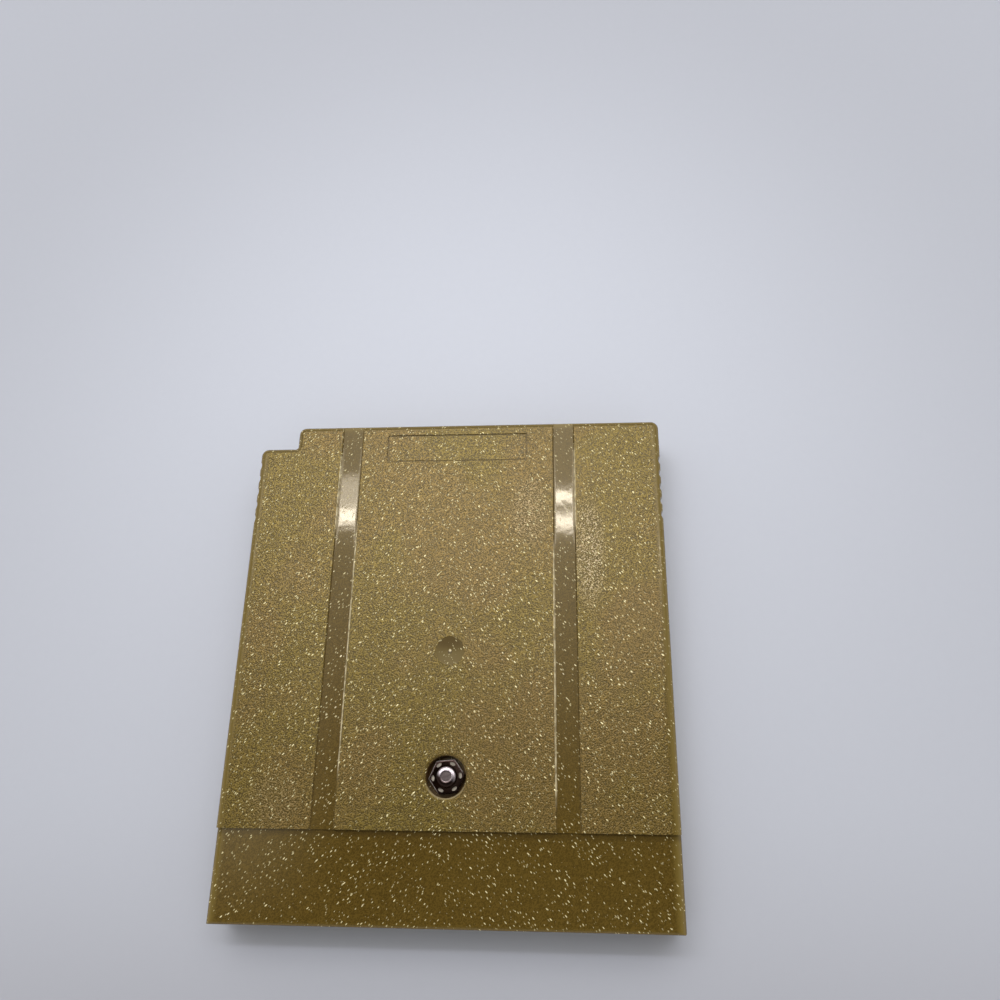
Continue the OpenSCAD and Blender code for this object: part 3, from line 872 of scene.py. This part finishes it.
        # The rim takes its own colour: partly its smooth finish, partly a painted sheen
        body = graph.mix(rim, graph.mix(peaks, self.base, self.fleck), self.rim)
        rough = graph.line(mark["Marks"], self.mark_roughness, self.gloss_roughness)
        if self.side is Side.BACK:
            dish = self.round_mask(graph, 0.0, self.dish_r)
            panel = graph.times(panel, graph.inverse(dish))
            # Painted shade: the dish darkens towards its upper side
            tone = graph.mix(graph.span(y, *self.dish_fade), self.dish, self.dish_painted_shade)
            # Painted shade: the deep part of the screw's well takes a colour of its own
            well = graph.times(self.round_mask(graph, self.well_y, self.well_r + 0.05),
                               graph.inverse(graph.span(z, *self.well_levels)))
            body = graph.mix(well, graph.mix(dish, body, tone), self.painted_shading)
            # Painted sheen: in a few patches the grain's crests turn bright
            painted_glints = graph.times(self.painted_sheen_mask(graph), graph.ramp(grain, *self.spark_levels))
            crest = graph.mix(painted_glints, crest, self.painted_sheen)
            off_middle = graph.off(graph.math("ABSOLUTE", x), self.channel_x * MM)
            near_wall = graph.times(
                graph.span(off_middle, *(share * self.channel_w for share in self.wall_shares)),
                graph.slab(y, *self.glare, self.line_soft[1]), graph.inverse(panel))
            rough = graph.line(near_wall, self.wall_roughness, rough)
            rough = graph.line(dish, self.dish_roughness, rough)
        rough = graph.line(panel, self.grain_roughness - self.gloss_roughness, rough)
        colour = graph.mix(panel, body, graph.mix(peaks, self.pit_tone_and_shade, crest))
        if self.side is Side.BACK:
            colour = self.painted_light_and_shade(graph, colour)
        colour = graph.mix(graph.times(mark["Patches"], self.patch_share), colour, self.rim)
        colour, normal = self.flaked(graph, colour)
        seam = graph.slab(z, *self.seam)
        relief = graph.line(graph.noise(graph.point, self.peel_scale, 1.0),
                            self.peel_height / self.grain_height, graph.times(grain, panel))
        return graph.laid(
            Base_Color=graph.mix(graph.times(seam, self.seam_share), colour, self.painted_shade_and_joint),
            Normal=graph.bump(relief, self.grain_height, Normal=normal), Roughness=rough,
            Metallic=graph.times(panel, graph.line(peaks, *self.pearl)),
            Specular_Tint=self.highlight)


@dataclass(frozen=True)
class Metal:
    """A metal with brushed or speckled roughness and faint staining."""

    name: str
    colour: Colour
    stain: Colour
    roughness: float = 0.25
    roughness_range: float = 0.3
    stain_scale: float = 700.0
    stain_share: float = 0.6
    speckle: float = 2500.0
    relief: float = 0.004

    def build(self) -> Material:
        """Builds the metal.

        Returns:
            The material.
        """
        graph = MaterialGraph(self.name)
        stained = graph.use("smudges", Vector=graph.point, Scale=self.stain_scale)["Patches"]
        specks = graph.noise(graph.point, self.speckle, 3.0, 0.6)
        return graph.laid(
            Base_Color=graph.mix(graph.times(stained, self.stain_share), self.colour, self.stain),
            Metallic=1.0, Normal=graph.bump(specks, self.relief),
            Roughness=graph.line(specks, self.roughness_range,
                                 self.roughness - self.roughness_range / 2))


@dataclass(frozen=True)
class ScrewSteel:
    """Darkened steel, with painted highlights on its hub and its rim's edges towards the light."""

    middle: Point
    hub_r: float
    flat_r: float
    edge_r: float
    rim_level: float
    dark: Colour = srgb(60, 46, 41)
    # bright and edge are painted highlights, on the hub and the rim's edges on the lit side
    bright: Colour = srgb(202, 190, 190)
    top: Colour = srgb(126, 114, 110)
    edge: Colour = srgb(236, 226, 214)
    floor: Colour = srgb(192, 182, 160)
    roughness: float = 0.1
    roughness_range: float = 0.3
    relief: float = 0.008
    speck_share: float = 0.35
    pocket_end: Pair = (2.15, 2.1)
    # How far below the rim's level the lit edge and the pockets' floors lie, from and to
    edge_drop: Pair = (0.09, 0.006)
    floor_drop: Pair = (0.2, 0.1)
    # The slope across the screw that light comes from, and where it fades in
    hub_light: Point = (0.35, -0.45, 0.25)
    rim_light: Point = (-0.8, -1.6, -0.4)

    def build(self) -> Material:
        """Builds the steel around the screw's axis.

        Returns:
            The material.
        """
        graph = MaterialGraph("screw_steel_worn")
        x, y, height = graph.axes
        reach = graph.beside(*self.middle[:2])
        specks = graph.noise(graph.point, 2600.0, 3.0, 0.6)
        ahead = graph.minus(y, self.middle[1] * MM)
        # Painted highlights on the hub and on the rim's edges, on the side towards the closed end
        # where the light comes from
        hub_lit, rim_lit = (graph.span(graph.line(x, slope, ahead), start, end)
                            for slope, start, end in (self.hub_light, self.rim_light))
        (edge_low, edge_high), (floor_low, floor_high) = (
            (self.rim_level - low, self.rim_level - high)
            for low, high in (self.edge_drop, self.floor_drop))
        hub = graph.times(graph.span(reach, self.hub_r - 0.02, self.hub_r - 0.2), hub_lit)
        top = graph.span(reach, self.flat_r + 0.02, self.flat_r - 0.04)
        edge = graph.times(graph.slab(height, edge_low, edge_high, 0.004),
                           graph.span(reach, self.edge_r - 0.05, self.edge_r), rim_lit)
        pocket = graph.times(graph.slab(height, floor_low, floor_high, 0.01),
                             graph.span(reach, *self.pocket_end))
        dull = graph.times(graph.ramp(specks, 0.45, 0.6), self.speck_share)
        colour = self.dark
        for mask, tone in ((edge, self.edge), (hub, self.bright), (top, self.top),
                           (pocket, self.floor), (dull, self.dark)):
            colour = graph.mix(mask, colour, tone)
        return graph.laid(
            Base_Color=colour, Metallic=graph.line(graph.most(pocket, edge), -0.8, 1.0),
            Roughness=graph.line(specks, self.roughness_range, self.roughness),
            Normal=graph.bump(specks, self.relief))


@dataclass(frozen=True)
class Resin:
    """A moulded or fired body with a fine matt surface."""

    name: str
    colour: Colour
    fleck: Colour
    roughness: float = 0.5
    roughness_range: float = 0.2
    scale: float = 5000.0
    fleck_scale: float = 400.0
    fleck_share: float = 0.5
    relief: float = 0.006

    def build(self) -> Material:
        """Builds the resin or ceramic.

        Returns:
            The material.
        """
        graph = MaterialGraph(self.name)
        grain = graph.use("grain", Vector=graph.point, Scale=self.scale)["Height"]
        flecked = graph.use("smudges", Vector=graph.point, Scale=self.fleck_scale)["Patches"]
        return graph.laid(
            Base_Color=graph.mix(graph.times(flecked, self.fleck_share), self.colour, self.fleck),
            Normal=graph.bump(grain, self.relief),
            Roughness=graph.line(grain, self.roughness_range,
                                 self.roughness - self.roughness_range / 2))


@dataclass(frozen=True)
class Laminate:
    """Green board with glass cloth in it and faint copper tracks under the varnish."""

    name: str = "board_varnish"
    varnish: Colour = srgb(36, 92, 52)
    track: Colour = srgb(66, 128, 72)
    core: Colour = srgb(150, 150, 96)
    core_share: float = 0.15
    weave_scale: float = 1600.0
    roughness: float = 0.25
    roughness_range: float = 0.2
    relief: float = 0.02

    def build(self) -> Material:
        """Builds the board's laminate.

        Returns:
            The material.
        """
        graph = MaterialGraph(self.name)
        lines = graph.add("ShaderNodeTexBrick", {
            "Vector": graph.place(graph.point, (0.0, 0.0, 1.5708)), "Scale": 420.0,
            "Mortar Size": 0.012, "Brick Width": 2.6, "Row Height": 0.32,
            "Mortar Smooth": 0.2}).outputs["Fac"]
        weave = graph.cells(graph.point, self.weave_scale)["Distance"]
        tracks = graph.mix(graph.inverse(lines), self.track, self.varnish)
        return graph.laid(
            Base_Color=graph.mix(graph.times(weave, self.core_share), tracks, self.core),
            Roughness=graph.line(weave, self.roughness_range, self.roughness),
            Normal=graph.bump(lines, self.relief))


def dress(node: str, material: Material) -> None:
    """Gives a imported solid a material.

    Args:
        node: The solid's name.
        material: The material.
    """
    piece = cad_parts[node]
    if not piece.material_slots:
        piece.data.materials.append(material)
    for slot in piece.material_slots:
        slot.material = material
    LOG.info("dressed %s in %s", node, material.name)


@dataclass
class Housing:
    """The two moulded halves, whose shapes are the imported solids."""

    rear: str = "rear_shell"
    front: str = "front_shell"

    def dress(self) -> None:
        """Gives each half its plastic, with the grain on its own outer face."""
        dress(self.rear, GlitterPlastic(Side.BACK).build())
        dress(self.front, GlitterPlastic(Side.LABEL).build())


@dataclass
class Package:
    """A moulded package: draft from its middle, soft edges and a dimple by its first lead."""

    node: str
    draft: float = 0.12
    edge: float = 0.08
    dimple_r: float = 0.45
    dimple_depth: float = 0.08

    def build(self, material: Material) -> None:
        """Makes the package in the place of its solid.

        Args:
            material: The package's resin.
        """
        low, high = (Vector(corner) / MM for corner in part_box(self.node))
        size = high - low
        body = Form().moulded_block(tuple(size), self.draft).soften(self.edge, corner=0.9)
        reach = min(self.dimple_r, size.x / 8)
        dimple = Form().prism(24, reach, -size.z, self.dimple_depth - size.z / 2)
        away = 2.2 * reach
        dimple.moved(Matrix.Translation((away - size.x / 2, size.y / 2 - away, 0.0)))
        body.carved(dimple).moved(Matrix.Translation((low + high) / 2))
        body.piece(self.node + "_body", Slot.RESIN, material, self.node)


@dataclass
class Chip:
    """A ceramic chip with a soldered cap over each end."""

    node: str
    slot: Slot
    cap_share: float = 0.22
    edge: float = 0.05

    def build(self, ceramic: Material, tin: Material) -> None:
        """Makes the chip and its two caps in the place of the solid.

        Args:
            ceramic: The finish of the body.
            tin: The finish of the caps.
        """
        low, high = (Vector(corner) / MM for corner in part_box(self.node))
        size, middle = high - low, Matrix.Translation((low + high) / 2)
        inner = (size.x * 0.9, size.y - 0.08, size.z - 0.08)
        Form().moulded_block(inner).soften(self.edge).moved(middle).piece(
            self.node + "_ceramic", self.slot, ceramic, self.node)
        caps = Form()
        cap = size.x * self.cap_share
        for side in (-1, 1):
            end = Form().moulded_block((cap, size.y, size.z)).soften(self.edge)
            caps.joined(end.moved(Matrix.Translation((side * (size.x - cap) / 2, 0.0, 0.0))))
        caps.moved(middle).piece(self.node + "_caps", Slot.LEAD, tin, self.node)


@dataclass
class CoinCell:
    """The backup battery: a can with its edge rolled over a seal, and a cap towards the board."""

    node: str = "backup_battery"
    cap_inset: float = 1.2
    seal_w: float = 0.35
    roll: float = 0.35

    def build(self) -> None:
        """Makes the can, the seal and the cap in the place of the solid."""
        low, high = (Vector(corner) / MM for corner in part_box(self.node))
        radius, height = (high.x - low.x) / 2, high.z - low.z
        place = Matrix.Translation(((low.x + high.x) / 2, (low.y + high.y) / 2, low.z))
        lip = height - 0.32
        cap_r, roll = radius - self.cap_inset, self.roll
        can = Form().turned((
            (0.0, 0.04), (radius - 1.6, 0.04), (radius - 1.5, 0.0), (radius - roll, 0.0),
            (radius - 0.1, 0.1), (radius, roll), (radius, lip - roll), (radius - 0.1, lip - 0.1),
            (radius - roll, lip), (cap_r + self.seal_w, lip - 0.04),
            (cap_r + self.seal_w, lip - 0.3), (0.0, lip - 0.3)))
        seal = Form().turned((
            (cap_r - 0.2, lip - 0.35), (cap_r + self.seal_w, lip - 0.35),
            (cap_r + self.seal_w, lip - 0.02), (cap_r + self.seal_w - 0.08, lip + 0.04),
            (cap_r, lip + 0.04), (cap_r - 0.2, lip - 0.35)))
        cap = Form().turned((
            (0.0, lip - 0.32), (cap_r, lip - 0.32), (cap_r, height - 0.25),
            (cap_r - 0.08, height - 0.08), (cap_r - 0.25, height), (cap_r - 1.6, height),
            (cap_r - 1.75, height - 0.05), (0.0, height - 0.05)))
        plating = Metal("cell_plating", srgb(190, 190, 188), srgb(166, 164, 160), 0.3).build()
        gasket = Resin("cell_gasket", srgb(44, 44, 46), srgb(56, 56, 58), 0.5).build()
        for name, form, finish in (("cell_can", can, plating), ("cell_seal", seal, gasket),
                                   ("cell_cap", cap, plating)):
            form.moved(place).piece(name, Slot.CELL, finish, self.node)


@dataclass
class CrystalCan:
    """The clock crystal: a drawn can with a round end and a sealed foot at its leads."""

    node: str = "clock_crystal"
    end_r: float = 0.35
    foot_l: float = 0.5

    def build(self) -> None:
        """Makes the can in the place of the solid, its foot towards the mouth."""
        low, high = (Vector(corner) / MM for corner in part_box(self.node))
        radius, length = (high.x - low.x) / 2, high.y - low.y
        body_r = radius - 0.06
        form = Form().turned((
            (0.0, 0.06), (body_r * 0.8, 0.06), (body_r * 0.85, 0.0), (radius - 0.04, 0.0),
            (radius, 0.05), (radius, self.foot_l - 0.05), (radius - 0.04, self.foot_l),
            (body_r, self.foot_l + 0.04), (body_r, length - self.end_r),
            (body_r - self.end_r * 0.13, length - self.end_r * 0.5),
            (body_r - self.end_r * 0.5, length - self.end_r * 0.13),
            (body_r - self.end_r, length), (0.0, length)))
        foot = Matrix.Translation(((low.x + high.x) / 2, low.y, (low.z + high.z) / 2))
        can = Metal("drawn_can", srgb(204, 204, 202), srgb(176, 176, 172), 0.25).build()
        form.moved(foot @ Matrix.Rotation(-math.pi / 2, 4, "X")).piece(
            "crystal_can", Slot.CAN, can, self.node)


@dataclass
class BoardAssembly:
    """The circuit board with its parts, inside the two halves."""

    packages: tuple[str, ...] = ("program_rom", "memory_controller", "save_ram",
                                 "battery_monitor")
    tinned: tuple[str, ...] = ("program_rom_leads", "memory_controller_leads", "save_ram_leads",
                               "battery_monitor_leads", "crystal_leads",
                               "battery_tab_positive", "battery_tab_negative")
    capacitors: tuple[str, ...] = tuple(f"capacitor_{i}" for i in range(1, 5))
    resistors: tuple[str, ...] = tuple(f"resistor_{i}" for i in range(1, 4))

    def build(self) -> None:
        """Makes and dresses every part on the board."""
        dress("circuit_board", Laminate().build())
        dress("edge_contacts", Metal("contact_plating", srgb(214, 172, 84), srgb(176, 130, 56),
                                     0.3).build())
        resin = Resin("package_body", srgb(38, 38, 40), srgb(50, 50, 50)).build()
        for name in self.packages:
            Package(name).build(resin)
        tin = Metal("tinned_copper", srgb(196, 196, 192), srgb(160, 160, 156), 0.35).build()
        for name in self.tinned:
            dress(name, tin)
        ceramic = Resin("fired_ceramic", srgb(166, 132, 92), srgb(148, 112, 74), 0.4).build()
        for name in self.capacitors:
            Chip(name, Slot.CAPACITOR).build(ceramic, tin)
        film = Resin("resistor_film", srgb(40, 40, 44), srgb(60, 60, 62), 0.35).build()
        for name in self.resistors:
            Chip(name, Slot.RESISTOR).build(film, tin)
        CoinCell().build()
        CrystalCan().build()


@dataclass
class CaseScrew:
    """The security screw in its well, with a key pocket inside each corner of its head."""

    node: str = "case_screw"
    corners: int = 6
    first_corner: float = math.radians(6.0)
    corner_r: float = 2.3
    rim_h: float = 1.3
    head_h: float = 2.05
    hub_r: float = 1.28
    flat_r: float = 0.68
    shank_r: float = 1.15
    pocket_at: float = 1.71
    pocket: Pair = (0.4, 0.74)
    pocket_depth: float = 0.15
    thread_pitch: float = 0.7
    thread_h: float = 0.22

    def head(self) -> Form:
        """Builds the head: rim with corners, slope, and hub with a shallow cup on top.

        Returns:
            The form, seated at zero height.
        """
        slope_r = self.corner_r * math.cos(math.pi / self.corners) - 0.1
        rim = Form().prism(self.corners, self.corner_r, 0.0, self.rim_h).soften(0.09)
        shoulder, drop = self.hub_r - self.flat_r, 0.3
        arc = [(self.flat_r + shoulder * math.sin(turn), self.head_h - drop * (1 - math.cos(turn)))
               for turn in (math.radians(step * 9) for step in range(10, -1, -1))]
        hub = Form().turned((
            (0.0, 0.1), (slope_r, 0.1), (slope_r, self.rim_h - 0.02), (slope_r - 0.04, self.rim_h),
            (self.hub_r + 0.1, self.rim_h + 0.17), (self.hub_r + 0.02, self.rim_h + 0.24),
            *arc, (self.flat_r - 0.03, self.head_h - 0.02),
            (self.flat_r - 0.1, self.head_h - 0.02), (0.0, self.head_h - 0.02)))
        return rim.carved(self.pockets(0.0)).joined(hub.carved(self.pockets(0.03)))

    def pockets(self, deeper: float) -> Form:
        """Builds what is cut out for the key: one flat-bottomed oval inside each corner.

        Args:
            deeper: How far the cut goes below the pockets' floor.

        Returns:
            The form, at the head's place.
        """
        cutter = Form()
        width, length = self.pocket
        for corner in range(self.corners):
            turn = Matrix.Rotation(corner * math.tau / self.corners, 4, "Z")
            floor = self.rim_h - self.pocket_depth - deeper
            oval = Form().prism(20, 0.5, floor, self.head_h + 0.5)
            oval.moved(Matrix.Diagonal((width, length, 1.0, 1.0)))
            cutter.joined(oval.moved(turn @ Matrix.Translation((self.pocket_at, 0.0, 0.0))))
        return cutter

    def shank(self, length: float) -> Form:
        """Builds the shank with a thread wound round it.

        Args:
            length: The shank's length below the head.

        Returns:
            The form, whose top is at zero height.
        """
        core = self.shank_r - self.thread_h
        form = Form().turned(((0.0, 0.1), (core, 0.1), (core, core * 0.5 - length),
                              (core * 0.4, -length), (0.0, -length)))
        thread = Form()
        turns = int((length - 0.9) / self.thread_pitch)
        corners = [thread.mesh.verts.new((core - 0.05 + out, 0.0, up - 0.25))
                   for out, up in ((0.0, 0.2), (self.thread_h + 0.04, 0.0), (0.0, -0.2))]
        start = thread.mesh.faces.new(corners)
        steps = 36 * turns
        bmesh.ops.spin(thread.mesh, geom=[start, *start.edges, *corners], cent=(0.0, 0.0, 0.0),
                       axis=(0.0, 0.0, 1.0), angle=math.tau * turns, steps=steps,
                       dvec=(0.0, 0.0, -turns * self.thread_pitch / steps))
        return form.joined(thread.outwards())

    def build(self) -> None:
        """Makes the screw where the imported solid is."""
        low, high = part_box(self.node)
        middle = (Vector(low) + Vector(high)) / (2 * MM)
        seat = high[2] / MM - self.head_h
        place = Matrix.Translation((middle.x, middle.y, seat))
        form = self.head().joined(self.shank(seat - low[2] / MM))
        form.moved(place @ Matrix.Rotation(self.first_corner, 4, "Z"))
        inner_r = self.corner_r * math.cos(math.pi / self.corners)
        steel = ScrewSteel(tuple(middle), self.hub_r, self.flat_r, inner_r - 0.09,
                           seat + self.rim_h)
        form.piece("security_screw", Slot.SCREW, steel.build(), self.node)


@dataclass
class Lamp:
    """A soft rectangular lamp that the smooth channels mirror."""

    name: str
    slope: Pair
    spread: Pair
    radiance: float
    height: float = 620.0


@dataclass
class Studio:
    """The pale floor, the soft light and the camera of the picture."""

    # The floor's colours near, far and in front: painted light and shade, brightest behind the
    # cartridge and darkest in front
    floor_colours: tuple[Colour, ...] = (srgb(224, 227, 232), srgb(198, 200, 204),
                                         srgb(169, 168, 170))
    floor_speckle: Colour = srgb(150, 154, 164)
    floor_middle: Point = (0.0, 38.0, 0.0)
    floor_fade: float = 100.0
    front_fade: Pair = (-15.0, -70.0)
    floor_size: float = 3000.0
    camera_at: Point = (14.59, -19.88, 115.8)
    look: Point = (-0.07212, 0.35181, -0.93329)
    up: Point = (0.01275, 0.93597, 0.35184)
    focal_pixels: float = 837.3
    frame_pixels: float = 1000.0
    sensor: float = 36.0
    clip: Pair = (0.002, 20.0)
    # The room's light, by the slopes x/z and y/z of its direction: its levels, where the
    # ceiling's light starts and ends along and across, and the middle and the widths of its veil
    room_colour: Colour = srgb(252, 252, 255)
    shade_level: float = 0.08
    room_level: float = 0.48
    room_fade: Pair = (0.2, 1.2)
    horizon_level: float = 0.7
    horizon_fade: Pair = (1.5, 5.0)
    ceiling_level: float = 3.6
    ceiling_start: Pair = (-0.05, 0.55)
    ceiling_end: Pair = (0.6, 1.3)
    ceiling_sides: Pair = (0.4, 1.1)
    dim_middle: float = -0.1
    dim_fade: Pair = (0.05, 0.27)
    dim_share: float = 0.45
    veil_level: float = 1.3
    veil_middle: Pair = (-0.42, 0.1)
    veil_fade: tuple[Pair, Pair] = ((0.17, 0.05), (0.24, 0.08))
    lamp_colour: Point = (0.95, 0.97, 1.14)
    # Each lamp is given by the slopes x/z and y/z at which the camera sees it in the back
    # face, by the spread of those slopes, and by its strength against white paper.
    lamps: tuple[Lamp, ...] = (
        Lamp("lamp_left", (-0.273, 0.357), (0.10, 0.020), 31.0),
        Lamp("lamp_left_wing", (-0.273, 0.391), (0.10, 0.044), 8.0),
        Lamp("lamp_right", (0.005, 0.347), (0.07, 0.020), 28.0),
        Lamp("lamp_right_upper", (0.005, 0.381), (0.07, 0.014), 33.0),
        Lamp("lamp_middle", (-0.13, 0.37), (0.16, 0.05), 10.0),
        Lamp("lamp_far_left", (-0.46, 0.37), (0.22, 0.05), 10.0),
        Lamp("lamp_far_right", (0.24, 0.35), (0.32, 0.06), 8.5),
    )

    def mirror_point(self) -> Vector:
        """Returns the camera's image in the plane of the back face, from where slopes count."""
        return Vector((*self.camera_at[:2], 2 * FACE_LEVEL - self.camera_at[2]))

    def place_lamp(self, lamp: Lamp) -> None:
        """Makes one lamp that faces the cartridge.

        Args:
            lamp: Its place, size and strength.
        """
        start = self.mirror_point()
        reach = lamp.height - start.z
        light = bpy.data.lights.new(lamp.name, "AREA")
        light.shape = "RECTANGLE"
        light.size, light.size_y = (share * reach * MM for share in lamp.spread)
        light.energy = lamp.radiance * math.pi * light.size * light.size_y
        light.color = self.lamp_colour
        thing = new_object(lamp.name, light)
        thing.location = (start + Vector((*lamp.slope, 1.0)) * reach) * MM
        thing.visible_camera = False
        LOG.info("lamp %s", lamp.name)

    def build_floor(self) -> None:
        """Makes the pale floor, with painted light and shade: a little brighter behind the
        cartridge and darker in front.
        """
        mesh = bmesh.new()
        bmesh.ops.create_grid(mesh, x_segments=4, y_segments=4, size=self.floor_size * MM / 2)
        floor = new_object("floor", from_bmesh(mesh, "floor"))
        graph = MaterialGraph("table_top")
        away = graph.vector("DISTANCE", graph.point, tuple(v * MM for v in self.floor_middle))
        near, far, front = self.floor_colours
        painted_shading = graph.mix(graph.span(away, 0.0, self.floor_fade), near, far)
        painted_shading = graph.mix(graph.span(graph.axes["Y"], *self.front_fade), painted_shading, front)
        fine = graph.times(graph.noise(graph.point, 900.0), 0.04)
        floor.data.materials.append(graph.laid(
            Base_Color=graph.mix(fine, painted_shading, self.floor_speckle), Roughness=0.6,
            Specular_IOR_Level=0.2))

    def build_world(self) -> None:
        """Makes the room's soft light, dimmer straight above, where the camera stands."""
        world = bpy.data.worlds.new("room")
        world.use_nodes = True
        bpy.context.scene.world = world
        graph = Graph(world.node_tree)
        sky = graph.split(graph.add("ShaderNodeTexCoord").outputs["Generated"])
        high = graph.most(sky["Z"], 0.05)
        aside, along = (graph.math("DIVIDE", sky[axis], high) for axis in ("X", "Y"))
        across = graph.math("ABSOLUTE", aside)
        away = graph.math("SQRT", graph.math(
            "ADD", graph.math("POWER", across, 2.0), graph.math("POWER", along, 2.0)))
        dim = graph.ramp(graph.off(aside, self.dim_middle), *self.dim_fade)
        ceiling = graph.times(
            graph.math("POWER", graph.ramp(along, *self.ceiling_start), 0.85),
            graph.inverse(graph.ramp(along, *self.ceiling_end)),
            graph.inverse(graph.ramp(across, *self.ceiling_sides)),
            graph.line(dim, -self.dim_share, 1.0))
        veil = graph.times(*(
            graph.ramp(graph.off(slope, middle), *fade) for slope, middle, fade
            in zip((aside, along), self.veil_middle, self.veil_fade)))
        level = graph.line(graph.ramp(away, *self.room_fade), self.room_level - self.shade_level,
                           self.shade_level)
        for light, strength in ((graph.ramp(away, *self.horizon_fade), self.horizon_level),
                                (veil, self.veil_level), (ceiling, self.ceiling_level)):
            level = graph.line(light, strength, level)
        background = world.node_tree.nodes["Background"]
        graph.feed(background.inputs["Color"], self.room_colour)
        graph.feed(background.inputs["Strength"], level)

    def build_camera(self) -> None:
        """Makes the camera of the photograph's view."""
        data = bpy.data.cameras.new("camera")
        data.sensor_width = self.sensor
        data.lens = self.focal_pixels * self.sensor / self.frame_pixels
        data.clip_start, data.clip_end = self.clip
        camera = new_object("camera", data)
        look = Vector(self.look).normalized()
        right = look.cross(Vector(self.up)).normalized()
        turn = Matrix((right, right.cross(look).normalized(), -look)).transposed()
        camera.matrix_world = Matrix.Translation(Vector(self.camera_at) * MM) @ turn.to_4x4()
        bpy.context.scene.camera = camera

    def build(self) -> None:
        """Makes the whole set."""
        self.build_camera()
        self.build_floor()
        self.build_world()
        for lamp in self.lamps:
            self.place_lamp(lamp)
        bpy.context.scene.view_settings.view_transform = "Standard"


def main() -> None:
    """Builds the picture's set and every piece, in order."""
    logging.basicConfig(level=logging.INFO, format="%(name)s: %(message)s")
    Studio().build()
    Housing().dress()
    CaseScrew().build()
    BoardAssembly().build()


if __name__ == "__main__":
    main()
